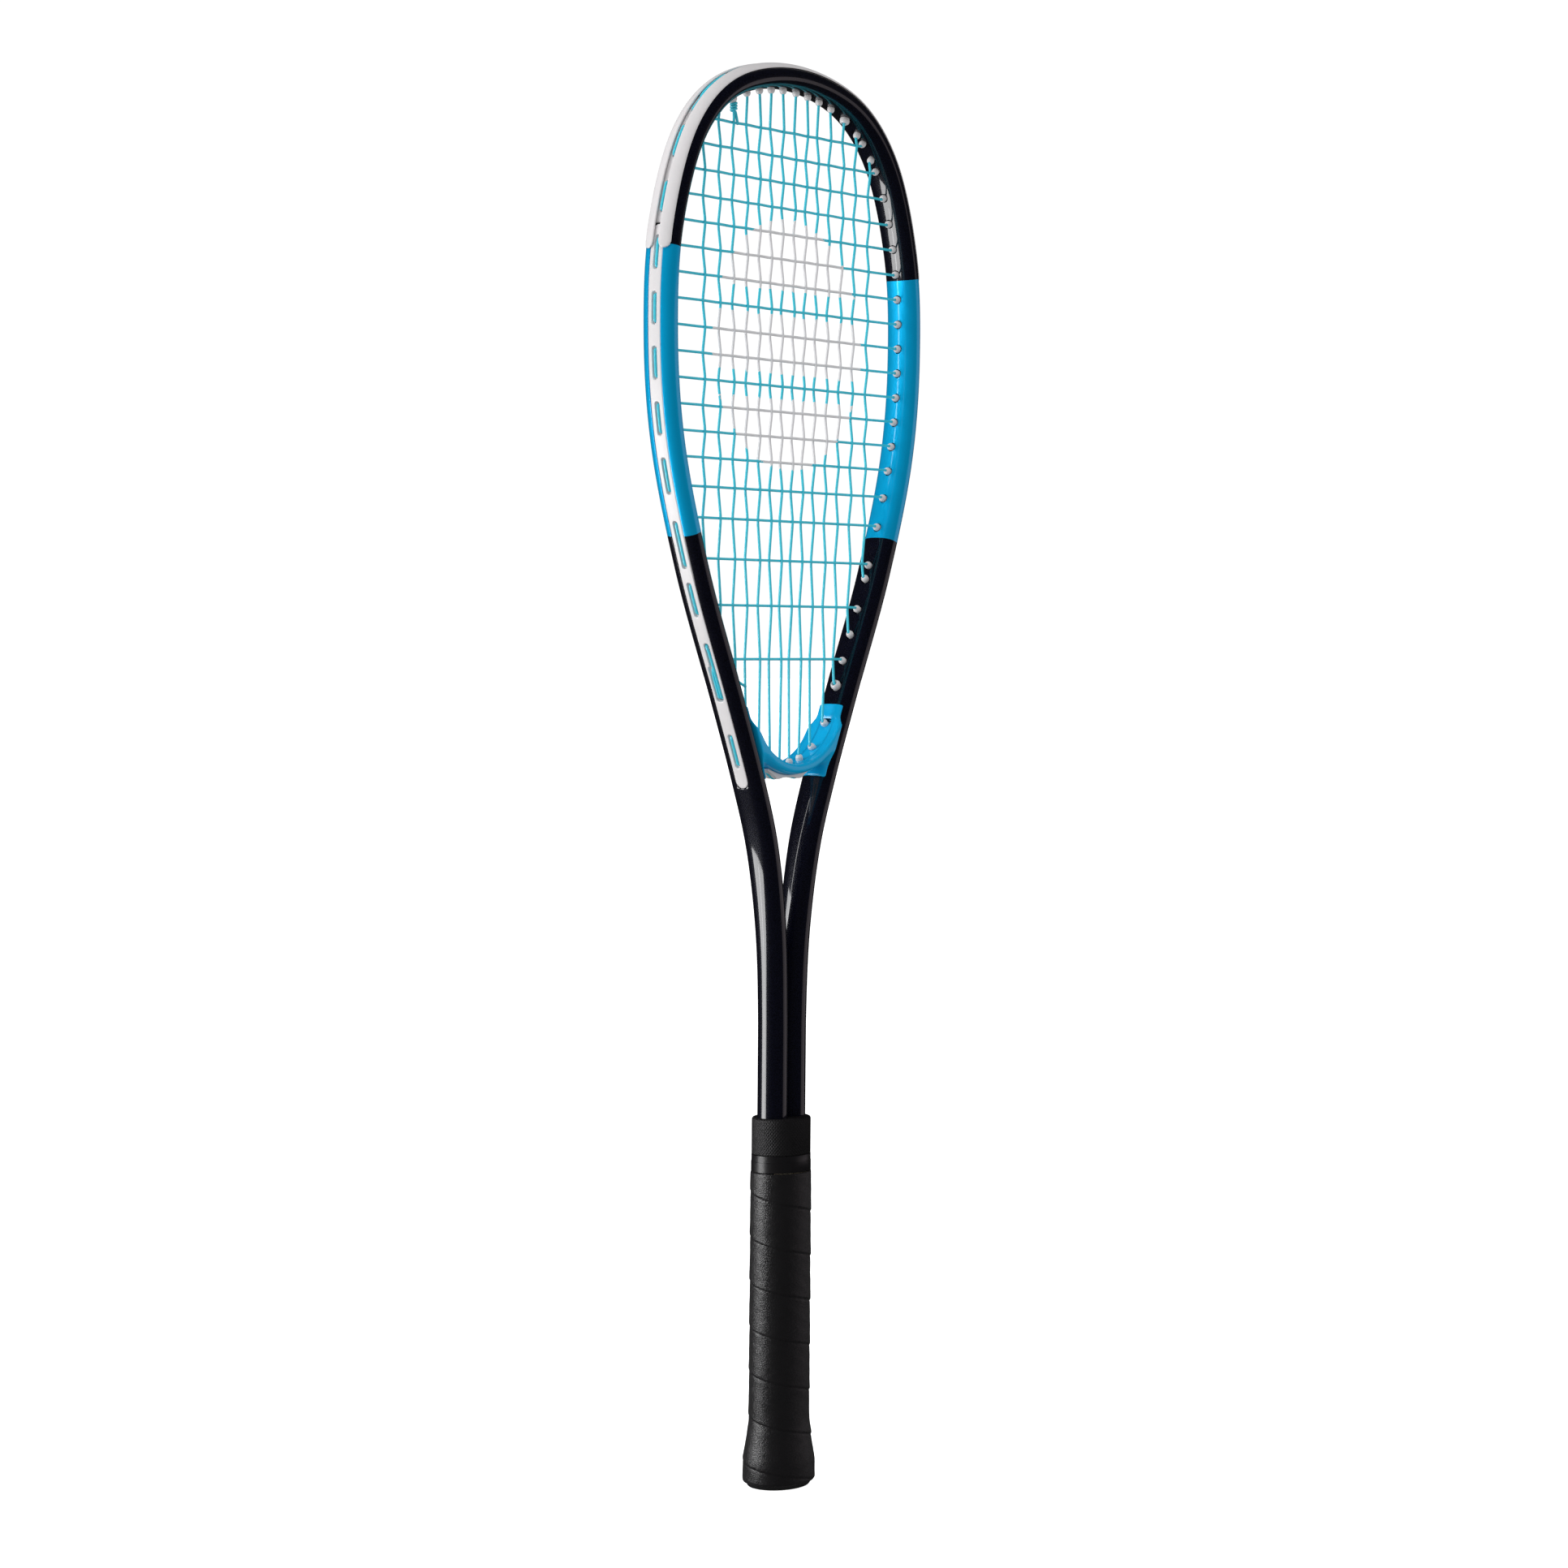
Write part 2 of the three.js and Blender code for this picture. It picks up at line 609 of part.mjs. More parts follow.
// The whole string, end to end: from the upper tie-off through the crosses down to the last but
// one, up and down the mains from left to right, and back along the lowest cross.
function stringRoute() {
  const tie = mains[TIE_MAIN];
  const onTieSide = (point) => point.clone().setY(SHARED_SIDE);
  const tail = (hole) =>
    onTieSide(hole.bend.clone().addScaledVector(hole.direction, -TAIL_LENGTH));
  const route = [tail(tie.top), onTieSide(tie.top.bend)];
  route.push(...outerRun(tie.top, crosses[0].left, LANE, SHARED_SIDE));
  const weaveCrosses = crosses.slice(0, -1);
  weaveCrosses.forEach((cross, k) => {
    const ends = [cross.left, cross.right];
    const [enter, leave] = k % 2 ? ends.toReversed() : ends;
    route.push(enter.bend, leave.bend);
    const next = k % 2 ? crosses[k + 1].left : crosses[k + 1].right;
    if (k + 1 < weaveCrosses.length) route.push(...outerRun(leave, next, -LANE));
  });
  route.push(...outerRun(weaveCrosses.at(-1).left, mains[0].bottom, -LANE));
  mains.forEach((main, i) => {
    const span = mainSpan(main, i);
    const side = (which) => (which.tie ? -SHARED_SIDE : 0);
    const ends = [0, span.length - 1];
    const sided = span.map((point, k) => (ends.includes(k) ? point.clone().setY(side(main)) : point));
    route.push(...(i % 2 ? sided.toReversed() : sided));
    if (i + 1 === mains.length) return;
    const end = i % 2 ? "bottom" : "top";
    route.push(...outerRun(main[end], mains[i + 1][end], -LANE, side(main), side(mains[i + 1])));
  });
  const lowest = crosses.at(-1);
  route.push(...outerRun(mains.at(-1).bottom, lowest.right, LANE));
  route.push(lowest.right.bend, lowest.left.bend);
  route.push(...outerRun(lowest.left, tie.bottom, LANE, 0, SHARED_SIDE));
  route.push(onTieSide(tie.bottom.bend), tail(tie.bottom));
  return route;
}

// The knots stand just inside the tie-off holes, round the main and the string's end.
function knot(hole) {
  const geometry = new THREE.SphereGeometry(KNOT_RADIUS, 8, 6);
  const middle = hole.bend.clone().addScaledVector(hole.direction, -KNOT_INSET);
  geometry.translate(middle.x, 0, middle.z);
  return solid(geometry);
}

function wovenString() {
  const route = stringRoute();
  const corners = Array.from({ length: STRING_SIDES }, (_, i) => {
    const angle = (i / STRING_SIDES) * 2 * Math.PI;
    return new THREE.Vector2(Math.cos(angle), Math.sin(angle)).multiplyScalar(STRING_RADIUS);
  });
  const strand = new THREE.ExtrudeGeometry(new THREE.Shape(corners), {
    steps: route.length - 1,
    extrudePath: new StepCurve(route),
    bevelEnabled: false,
  });
  const tie = mains[TIE_MAIN];
  return join([solid(strand), knot(tie.top), knot(tie.bottom)]);
}

// ---- The handle ----------------------------------------------------------------------------

const legs = (radius, low, high) =>
  [1, -1].map((side) => prism(vec(side * LEG_X, 0, low), UP, radius, 24, 0, high - low));

// One moulded half of the handle's core, which fills the oval in front of or behind the legs.
function pallet(side, slots) {
  const width = HANDLE_CORE - 0.2;
  const full = oval([
    [0, PALLET_LOW_Z],
    [width, PALLET_LOW_Z],
    [width, PALLET_TOP_Z],
    [0, PALLET_TOP_Z],
  ]);
  const reach = side * 30;
  const near = side * GAP;
  const keep = block(
    vec(-PALLET_HALF_WIDTH, Math.min(near, reach), 0),
    vec(PALLET_HALF_WIDTH, Math.max(near, reach), COLLAR_TOP_Z),
  );
  return cut(full.intersect(keep), [...legs(SHAFT_RADIUS + GAP, 0, COLLAR_TOP_Z), ...slots]);
}

// How far the cap stands out from the handle's core at a height.
const FLARE_PROFILE = [
  [0, CAP_FLARE - 1.6],
  [1, CAP_FLARE - 0.5],
  [3.2, CAP_FLARE],
  [CAP_FLARE_Z, CAP_FLARE - 0.1],
  [18, 1.9],
  [23, 1],
  [CAP_TOP_Z, 0.7],
];

// A cup over the core's end, flared so that the hand can't slip off it.
function buttCap(slots) {
  const outside = FLARE_PROFILE.map(([z, flare]) => [GRIP_INSIDE + flare, z]);
  const body = oval([[0, 0], ...outside, [GRIP_INSIDE, CAP_TOP_Z], [GRIP_INSIDE, CAP_FLOOR], [0, CAP_FLOOR]]);
  return cut(body, slots);
}

// The wrapped grip as one sleeve, from the cap's rim to the finishing tape.
function gripWrap() {
  const over = FLARE_PROFILE.slice(2).map(([z, flare]) => [GRIP_INSIDE + flare + GAP, z]);
  const inside = [...over, [GRIP_INSIDE, CAP_TOP_Z + 4], [GRIP_INSIDE, GRIP_TOP_Z]];
  const outside = inside.map(([radius, z]) => [radius + GRIP_THICKNESS, z]);
  const lip = [GRIP_INSIDE + CAP_FLARE + GRIP_THICKNESS - 0.8, GRIP_LOW_Z];
  return oval([lip, ...outside, ...inside.toReversed()]);
}

function finishingTape() {
  const outside = GRIP_INSIDE + GRIP_THICKNESS - 0.15;
  const low = GRIP_TOP_Z + GAP;
  return oval([
    [GRIP_INSIDE, low],
    [outside, low],
    [outside, TAPE_TOP_Z],
    [GRIP_INSIDE, TAPE_TOP_Z],
  ]);
}

// The rubber collar closes the handle's top round the two legs.
function gripCollar() {
  const outside = GRIP_INSIDE + GRIP_THICKNESS - 0.4;
  const low = TAPE_TOP_Z + GAP;
  const body = oval([
    [0, low],
    [outside, low],
    [outside, COLLAR_TOP_Z - 3],
    [outside - 0.3, COLLAR_TOP_Z - 1],
    [outside - 0.6, COLLAR_TOP_Z],
    [0, COLLAR_TOP_Z],
  ]);
  return cut(body, legs(SHAFT_RADIUS + GAP, TAPE_TOP_Z, COLLAR_TOP_Z + 1));
}

// ---- Staples -------------------------------------------------------------------------------

const STAPLE_WIRE = 0.7;
const CAP_STAPLE = { half: 3.2, depth: 5.5, z: 21 };
const GRIP_STAPLE = { half: 3, depth: 3, z: 7 };
const SLOT_GROWTH = 0.25;

// A staple driven in along Y from `faceY`, with its crown across X. `grown` makes its slot.
function staple({ half, depth, z }, faceY, side, grown = 0) {
  const wire = STAPLE_WIRE / 2 + grown;
  const bar = (x0, x1, y0, y1) =>
    block(
      vec(x0 - wire, Math.min(side * y0, side * y1), z - wire),
      vec(x1 + wire, Math.max(side * y0, side * y1), z + wire),
    );
  const crown = bar(-half, half, faceY - STAPLE_WIRE - grown, faceY + grown);
  const prongs = [-half, half].map((x) => bar(x, x, faceY - depth - grown, faceY + grown));
  return join([crown, ...prongs]);
}

// Just inside the cap's outer face at a height, where a staple's crown lies flush.
function capFace(z) {
  const above = FLARE_PROFILE.findIndex(([height]) => height >= z);
  const [[z0, flare0], [z1, flare1]] = FLARE_PROFILE.slice(above - 1, above + 1);
  const flare = THREE.MathUtils.mapLinear(z, z0, z1, flare0, flare1);
  return (GRIP_INSIDE + flare) * HANDLE_RATIO - GAP;
}

const capStaples = [
  [CAP_STAPLE, capFace(CAP_STAPLE.z), 1],
  [CAP_STAPLE, capFace(CAP_STAPLE.z), -1],
];
const gripStaple = [GRIP_STAPLE, capFace(GRIP_STAPLE.z), 1];
const slotOf = (driven) => staple(...driven, SLOT_GROWTH);

// ---- Assembly ------------------------------------------------------------------------------

// Colour, roughness and metalness of each material.
const FINISHES = {
  paint: [0x0a0c1c, 0.25, 0.4],
  cyan: [0x0aa5dd, 0.3, 0],
  white: [0xe8e3e4, 0.5, 0],
  nylon: [0x35b4d2, 0.35, 0],
  foam: [0xc9b98a, 0.9, 0],
  black: [0x1a1a1c, 0.7, 0],
  grip: [0x17161a, 0.55, 0],
  steel: [0xb8b8bc, 0.35, 1],
};

const racket = new THREE.Group();

function addNode(name, body, finish) {
  const [color, roughness, metalness] = FINISHES[finish];
  const material = new THREE.MeshStandardMaterial({ color, roughness, metalness });
  const mesh = new THREE.Mesh(geometryOf(body), material);
  mesh.name = name;
  racket.add(mesh);
}

const slots = [...capStaples, gripStaple].map(slotOf);
addNode("frame_tube", frameTube(tubeHoles), "paint");
addNode("throat_bridge", throatBridge([...sideHoles, ...bridgeHoles]), "cyan");
addNode("bridge_grommet_strip", bridgeStrip(), "white");
addNode("head_bumper", bumper(), "white");
addNode("grommet_strip_left", sideStrip(true), "white");
addNode("grommet_strip_right", sideStrip(false), "white");
addNode("string", wovenString(), "nylon");
addNode("pallet_front", pallet(-1, slots), "foam");
addNode("pallet_back", pallet(1, slots), "foam");
addNode("butt_cap", buttCap(slots), "black");
addNode("cap_staple_back", staple(...capStaples[0]), "steel");
addNode("cap_staple_front", staple(...capStaples[1]), "steel");
addNode("grip_wrap", gripWrap(), "grip");
addNode("grip_staple", staple(...gripStaple), "steel");
addNode("finishing_tape", finishingTape(), "black");
addNode("grip_collar", gripCollar(), "black");

export default racket;
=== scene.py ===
"""Squash racket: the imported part's looks, with the camera and light of a studio picture of it.

Shapes are worked out in millimetres and made in metres. A place on the tube is (s, n, y): s along
the centreline from the crown, positive on the left rail, n outwards from it, and y square to the
strings, as in the part.
"""

import math

import bpy
import numpy as np
import openvdb as vdb
from mathutils import Matrix, Vector


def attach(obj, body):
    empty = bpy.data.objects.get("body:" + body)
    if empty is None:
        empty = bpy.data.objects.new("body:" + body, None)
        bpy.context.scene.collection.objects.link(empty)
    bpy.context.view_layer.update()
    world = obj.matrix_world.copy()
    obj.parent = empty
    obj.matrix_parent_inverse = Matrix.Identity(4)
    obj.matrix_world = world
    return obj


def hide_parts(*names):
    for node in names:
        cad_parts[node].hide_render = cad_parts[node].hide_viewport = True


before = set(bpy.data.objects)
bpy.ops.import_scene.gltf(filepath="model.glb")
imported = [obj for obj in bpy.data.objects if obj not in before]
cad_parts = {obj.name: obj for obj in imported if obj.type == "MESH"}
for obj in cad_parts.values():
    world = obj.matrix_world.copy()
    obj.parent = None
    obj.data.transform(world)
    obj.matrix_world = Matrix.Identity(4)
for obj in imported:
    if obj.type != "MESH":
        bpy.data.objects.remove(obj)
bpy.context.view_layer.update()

MM = 0.001

# ---- Dimensions of the part, in millimetres ----

# Right half of the tube's centreline, (x, z) from the leg's end to the crown.
LEG_X = 7.45
CENTRELINE = [
    (LEG_X, 12), (LEG_X, 100), (LEG_X, 180), (LEG_X, 225),
    (9.8, 270), (17.5, 311), (29.2, 343), (46.4, 382), (74.4, 443), (93.7, 502),
    (99.2, 552), (95.6, 600), (77.6, 645), (50, 668.4), (0, 678.3),
]
WALL = 0.8
HEAD_HALF_WIDTH = 5.5
HEAD_HALF_DEPTH = 8.7
SHAFT_RADIUS = 7.3
SHAFT_TOP_Z = 225
THROAT_TOP_Z = 350
HEAD_SQUARENESS = 2.35  # exponent of the tube's superellipse in the head; 2 is an ellipse
GROOVE_DEPTH = 2.1
GROOVE_END_Z = 341.9
GROOVE_FADE = 1.2
BLUE_ZONE_Z = (459, 590)

MAIN_TOP_X = [5.2, 14.7, 24, 33.9, 45.4, 55.6, 67.4]
MAIN_LOW_X = [3.9, 11.8, 20.9, 31.3, 40.8, 52.7, 65.2]
TOP_CROSS_Z = 652.6
CROSS_PITCHES = [12.15] * 13 + [13.5, 14.5, 19, 21.7, 25.5]
TIE_MAIN = 2  # the third main from each side has wider holes, for the string's two ends
HOLE_LEAN = 0.2
CHEEK_LEAN = 0.1  # of the holes that also go through the bridge
BRIDGE_MAINS = 2
BEND_DEPTH = 2.5  # from the inner face to the string's bend

BRIDGE_CENTRE_Z = 389
BRIDGE_RADIUS = 39
BRIDGE_THICKNESS = 5
BRIDGE_HALF_DEPTH = 9.7
CHEEK_TOP_Z = 378.5
CHEEK_LOW_Z = 339.5
CHEEK_RIM_Z = 376.2  # where the cheek's thin rounded end stops
SADDLE_THICKNESS = 1.05
CHEEK_SHORT = 4.5  # how far short of the rail's middle the cheek stops

STRIP_FLOOR = 3.45
STRIP_TOP = 5.25
STRIP_HALF_WIDTH = 3.55
GROOVE_HALF_WIDTH = 3.7
STRIP_LOW_Z = 340.8
POCKET_FLOOR = 3.85
POCKET_HALF_WIDTH = 1.4
CHANNEL_FLOOR = 4.8
BUMPER_END_Z = 588
LOBE_LENGTH = 9

STRING_RADIUS = 0.64

# Sizes of the moulded pieces' grid cells.
STRIP_CELL = (0.36, 0.22, 0.24)
BUMPER_CELL = (0.56, 0.3, 0.32)
BRIDGE_CELL = (0.42, 0.36, 0.36)
BRIDGE_STRIP_CELL = (0.3, 0.2, 0.3)

# ---- Meshes ----


def new_object(name, points, *face_sets):
    """A smooth-shaded object from points in millimetres and arrays with one face in each row."""
    mesh = bpy.data.meshes.new(name)
    corners = np.concatenate([np.ravel(faces) for faces in face_sets]).astype(np.int32)
    sizes = np.concatenate([np.full(len(faces), np.shape(faces)[1]) for faces in face_sets])
    mesh.vertices.add(len(points))
    mesh.vertices.foreach_set("co", (np.asarray(points, float) * MM).astype(np.float32).ravel())
    mesh.loops.add(len(corners))
    mesh.loops.foreach_set("vertex_index", corners)
    mesh.polygons.add(len(sizes))
    mesh.polygons.foreach_set("loop_start", (np.cumsum(sizes) - sizes).astype(np.int32))
    mesh.update(calc_edges=True)
    mesh.shade_smooth()
    made = bpy.data.objects.new(name, mesh)
    bpy.context.scene.collection.objects.link(made)
    return made


def grid_faces(rows, sides, first=0, wrap_rows=False):
    """Quads between rows of points that each close into a ring."""
    row = np.arange(rows if wrap_rows else rows - 1)[:, None]
    side = np.arange(sides)[None, :]
    near = row * sides
    far = (row + 1) % rows * sides
    after = (side + 1) % sides
    quads = np.stack(np.broadcast_arrays(near + side, near + after, far + after, far + side), -1)
    return quads.reshape(-1, 4) + first


def sweep(name, rings):
    """A solid through rings of points, (count, sides, 3), with flat ends."""
    count, sides, _ = rings.shape
    ends = np.array([np.arange(sides)[::-1], np.arange(sides) + (count - 1) * sides])
    return new_object(name, rings.reshape(-1, 3), grid_faces(count, sides), ends)


def apply_modifiers(body):
    seen = bpy.context.evaluated_depsgraph_get()
    result = bpy.data.meshes.new_from_object(body.evaluated_get(seen))
    body.modifiers.clear()
    body.data = result


def boolean(body, operation, tool):
    """Joins or cuts body by tool, and removes tool."""
    modifier = body.modifiers.new("boolean", "BOOLEAN")
    modifier.operation = operation
    modifier.solver = "MANIFOLD"
    modifier.object = tool
    apply_modifiers(body)
    bpy.data.objects.remove(tool)
    body.data.shade_smooth()


def even_normals(body):
    """Weights the smooth shading by face area, so slivers round the holes dent it less."""
    body.modifiers.new("normals", "WEIGHTED_NORMAL").keep_sharp = True
    apply_modifiers(body)


def sharpen(body, degrees):
    """Keeps the edges steeper than an angle sharp."""
    body.data.set_sharp_from_angle(angle=math.radians(degrees))


def join(name, parts):
    """One object from several, with their shells kept apart."""
    points, corners, sizes = [], [], []
    first = 0
    for part in parts:
        mesh = part.data
        co = np.empty(len(mesh.vertices) * 3, np.float32)
        mesh.vertices.foreach_get("co", co)
        loops = np.empty(len(mesh.loops), np.int32)
        mesh.loops.foreach_get("vertex_index", loops)
        total = np.empty(len(mesh.polygons), np.int32)
        mesh.polygons.foreach_get("loop_total", total)
        points.append(co.reshape(-1, 3) / MM)
        corners.append(loops + first)
        sizes.append(total)
        first += len(mesh.vertices)
        bpy.data.objects.remove(part)
    corners, sizes = np.concatenate(corners), np.concatenate(sizes)
    starts = np.cumsum(sizes) - sizes
    kinds = [corners[starts[sizes == k][:, None] + np.arange(k)] for k in np.unique(sizes)]
    return new_object(name, np.concatenate(points), *kinds)


def mould(name, low, high, cell, distance, to_world):
    """The surface where distance(a, b, c) is zero, for a grid in the piece's own coordinates."""
    low, high, cell = (np.asarray(v, float) for v in (low, high, cell))
    counts = np.ceil((high - low) / cell).astype(int) + 1
    axes = [low[i] + np.arange(counts[i]) * cell[i] for i in range(3)]
    values = distance(*np.meshgrid(*axes, indexing="ij", sparse=True))
    values = np.ascontiguousarray(np.broadcast_to(values, counts), np.float32)
    grid = vdb.FloatGrid()
    grid.background = 1000.0
    grid.copyFromArray(values)
    points, quads = grid.convertToQuads(0.0)
    return new_object(name, to_world(low + points.astype(float) * cell), quads)


# ---- Distance functions ----


def smooth_max(a, b, k):
    h = np.clip(0.5 + 0.5 * (a - b) / k, 0, 1)
    return b + (a - b) * h + k * h * (1 - h)


def smooth_min(a, b, k):
    return -smooth_max(-a, -b, k)


def rounded_max(a, b, radius):
    """Where both are below zero, with the edge between them rounded."""
    corner = np.hypot(np.maximum(a + radius, 0), np.maximum(b + radius, 0))
    return np.minimum(np.maximum(a, b), -radius) + corner


def oval_distance(n, y, a, b, power):
    """Close to a superellipse, the distance from it."""
    n, y = np.abs(n) + 1e-6, np.abs(y) + 1e-6
    g = ((n / a) ** power + (y / b) ** power) ** (1 / power)
    slope = g ** (1 - power) * np.hypot(n ** (power - 1) / a**power, y ** (power - 1) / b**power)
    return (g - 1) / slope


def segment_distance(s, y, s0, s1, y0=0.0):
    """Distance in the (s, y) plane from a straight run at y0."""
    low, high = min(s0, s1), max(s0, s1)
    return np.hypot(s - np.clip(s, low, high), y - y0)


# ---- The tube's centreline ----


def centripetal(points, samples):
    """A centripetal Catmull-Rom curve through points, with so many samples on each span."""
    p = np.array(points, float)
    p = np.vstack([2 * p[0] - p[1], p, 2 * p[-1] - p[-2]])
    out = []
    for p0, p1, p2, p3 in zip(p, p[1:], p[2:], p[3:]):
        d0, d1, d2 = (np.linalg.norm(b - a) ** 0.5 for a, b in ((p0, p1), (p1, p2), (p2, p3)))
        t1 = ((p1 - p0) / d0 - (p2 - p0) / (d0 + d1) + (p2 - p1) / d1) * d1
        t2 = ((p2 - p1) / d1 - (p3 - p1) / (d1 + d2) + (p3 - p2) / d2) * d1
        t = np.linspace(0, 1, samples, endpoint=False)[:, None]
        cubic = (2 * p1 - 2 * p2 + t1 + t2) * t**3 + (-3 * p1 + 3 * p2 - 2 * t1 - t2) * t**2
        out.append(cubic + t1 * t + p1)
    return np.vstack([*out, p[-2]])


def arc_length(points):
    steps = np.linalg.norm(np.diff(points, axis=0), axis=1)
    return np.concatenate([[0], np.cumsum(steps)])


def make_centreline():
    """s, x, z and the unit tangent of the whole centreline, every half millimetre."""
    left = [(-x, z) for x, z in CENTRELINE[-2::-1]]
    line = centripetal([*CENTRELINE, *left], 200)
    along = arc_length(line)
    half = along[-1] / 2
    s = np.linspace(-half, half, int(along[-1] / 0.5))
    x, z = (np.interp(s + half, along, line[:, i]) for i in range(2))
    tx, tz = np.gradient(x, s), np.gradient(z, s)
    length = np.hypot(tx, tz)
    return s, x, z, tx / length, tz / length


LINE_S, LINE_X, LINE_Z, LINE_TX, LINE_TZ = make_centreline()
LEG_S = LINE_S[-1]


def place(s):
    """Centre and unit tangent at s, in the head's plane: x, z, tx, tz."""
    return [np.interp(s, LINE_S, v) for v in (LINE_X, LINE_Z, LINE_TX, LINE_TZ)]


def bend(s, n, y):
    """World points at (s, n, y)."""
    x, z, tx, tz = place(s)
    return np.stack(np.broadcast_arrays(x + n * tz, y, z - n * tx), -1)


def from_tube(p):
    """World points from (s, n, y)."""
    return bend(p[:, 0], p[:, 1], p[:, 2])


def s_at_height(z):
    """Where the left half of the centreline is at a height."""
    left = LINE_S > 0
    return float(np.interp(-z, -LINE_Z[left], LINE_S[left]))


def smoothstep(x, low, high):
    t = np.clip((x - low) / (high - low), 0, 1)
    return t * t * (3 - 2 * t)


def tube_size(z):
    """Half width, half depth and squareness of the tube at a height."""
    head = smoothstep(z, SHAFT_TOP_Z, THROAT_TOP_Z)
    width = SHAFT_RADIUS + (HEAD_HALF_WIDTH - SHAFT_RADIUS) * head
    depth = SHAFT_RADIUS + (HEAD_HALF_DEPTH - SHAFT_RADIUS) * head
    return width, depth, 2 + (HEAD_SQUARENESS - 2) * head


# ---- String holes ----


def holes_at(s, heading):
    """Centre, direction, slant, inner reach and bend point of the tube's hole at each s."""
    x, z, tx, tz = place(s)
    outward = np.stack([tz, -tx], -1)
    lean = np.where(z < CHEEK_TOP_Z, CHEEK_LEAN, HOLE_LEAN)
    direction = outward + lean[..., None] * np.array(heading)
    direction /= np.linalg.norm(direction, axis=-1, keepdims=True)
    slant = (direction * outward).sum(-1)
    wall = HEAD_HALF_WIDTH / slant
    origin = np.stack([x, z - BRIDGE_CENTRE_Z], -1)
    along = (origin * direction).sum(-1)
    inside = along**2 - (origin**2).sum(-1) + BRIDGE_RADIUS**2
    through = np.maximum(wall, along - np.sqrt(np.maximum(inside, 0)))
    reach = np.where(z < CHEEK_TOP_Z, through, wall)
    centre = np.stack([x, z], -1)
    return centre, direction, slant, reach, centre - direction * (reach + BEND_DEPTH)[..., None]


def hole_for(axis, target, heading, low_z, high_s):
    """The hole on the left rail whose string bends at x or z = target."""
    s = np.arange(high_s, s_at_height(low_z), 0.25)
    bends = holes_at(s, heading)[4][:, axis]
    order = np.argsort(bends)
    return tube_hole(float(np.interp(target, bends[order], s[order])), heading)


def tube_hole(s, heading, wide=False):
    centre, direction, slant, reach, at = holes_at(np.array(s), heading)
    tangent = np.array(place(s)[2:])
    return {
        "s": s, "centre": centre, "direction": direction, "slant": float(slant),
        "reach": float(reach), "bend": at, "lean": float(direction @ tangent), "wide": wide,
    }


def bridge_hole(x):
    """A hole through the bridge whose string bends at x."""
    middle = BRIDGE_RADIUS + BRIDGE_THICKNESS / 2
    angle = np.linspace(-1, 1, 4001)
    outward = np.stack([np.sin(angle), -np.cos(angle)], -1)
    direction = outward + HOLE_LEAN * np.array((0, -1))
    direction /= np.linalg.norm(direction, axis=-1, keepdims=True)
    slant = (direction * outward).sum(-1)
    centre = outward * middle + np.array((0, BRIDGE_CENTRE_Z))
    reach = BRIDGE_THICKNESS / 2 / slant
    at = centre - direction * (reach + BEND_DEPTH)[:, None]
    i = int(np.argmin(np.abs(at[:, 0] - x)))
    return {
        "angle": float(angle[i]), "centre": centre[i], "direction": direction[i],
        "slant": float(slant[i]), "reach": float(reach[i]), "bend": at[i], "wide": False,
    }


def mirror_hole(hole):
    flipped = {k: np.array([-hole[k][0], hole[k][1]]) for k in ("centre", "direction", "bend")}
    turned = {k: -hole[k] for k in ("s", "angle", "lean") if k in hole}
    return {**hole, **flipped, **turned}


UP, DOWN, LEFT = (0, 1), (0, -1), (-1, 0)
WIDEST_S = s_at_height(556)
cross_z = TOP_CROSS_Z - np.concatenate([[0], np.cumsum(CROSS_PITCHES)])
left_tops = [hole_for(0, -x, UP, 556, 0) for x in MAIN_TOP_X]
left_crosses = [hole_for(1, z, LEFT, CHEEK_LOW_Z, 20) for z in cross_z]
left_bottoms = [
    bridge_hole(-x) if i < BRIDGE_MAINS else hole_for(0, -x, DOWN, CHEEK_LOW_Z, WIDEST_S)
    for i, x in enumerate(MAIN_LOW_X)
]
last_main = len(MAIN_TOP_X) - 1
for side_holes in (left_tops, left_bottoms):
    side_holes[last_main - TIE_MAIN]["wide"] = True


def across(left):
    """The same row of holes for both halves, from left to right."""
    return [*left[::-1], *[mirror_hole(hole) for hole in left]]


tops = across(left_tops)
bottoms = across(left_bottoms)
crosses = [(hole, mirror_hole(hole)) for hole in left_crosses]
rail_bottoms = [hole for hole in bottoms if "s" in hole]
bridge_bottoms = [hole for hole in bottoms if "angle" in hole]
tube_holes = [*tops, *rail_bottoms, *(hole for pair in crosses for hole in pair)]

# ---- The string's outer runs ----

LANE = 0.66  # half the distance between two strands that lie side by side


def outer_runs():
    """Pairs of holes that the string joins on the outside, each with its lane, in any order."""
    runs = []
    weave = crosses[:-1]
    for k in range(len(weave) - 1):
        side = 0 if k % 2 else 1
        runs.append((crosses[k][side], crosses[k + 1][side], 0))
    runs.append((weave[-1][0], bottoms[0], 0))
    for i in range(len(tops) - 1):
        row = bottoms if i % 2 else tops
        doubled = i < TIE_MAIN
        runs.append((row[i], row[i + 1], -LANE if doubled else 0))
    runs.append((bottoms[-1], crosses[-1][1], 0))
    runs.append((tops[TIE_MAIN], crosses[0][0], LANE))
    runs.append((crosses[-1][0], bottoms[TIE_MAIN], LANE))
    return runs


runs = outer_runs()

# ---- Frame tube ----

# Across the groove and its lips, then evenly round the rest of the section.
LIP = [-0.3, -0.17, -0.09, 0, 0.07, 0.15, 0.25, 0.45, 0.75]
FACE_Y = [0, 1.5, 2.8, *[GROOVE_HALF_WIDTH + d for d in LIP], 4.9]
ROUND_STEPS = 26


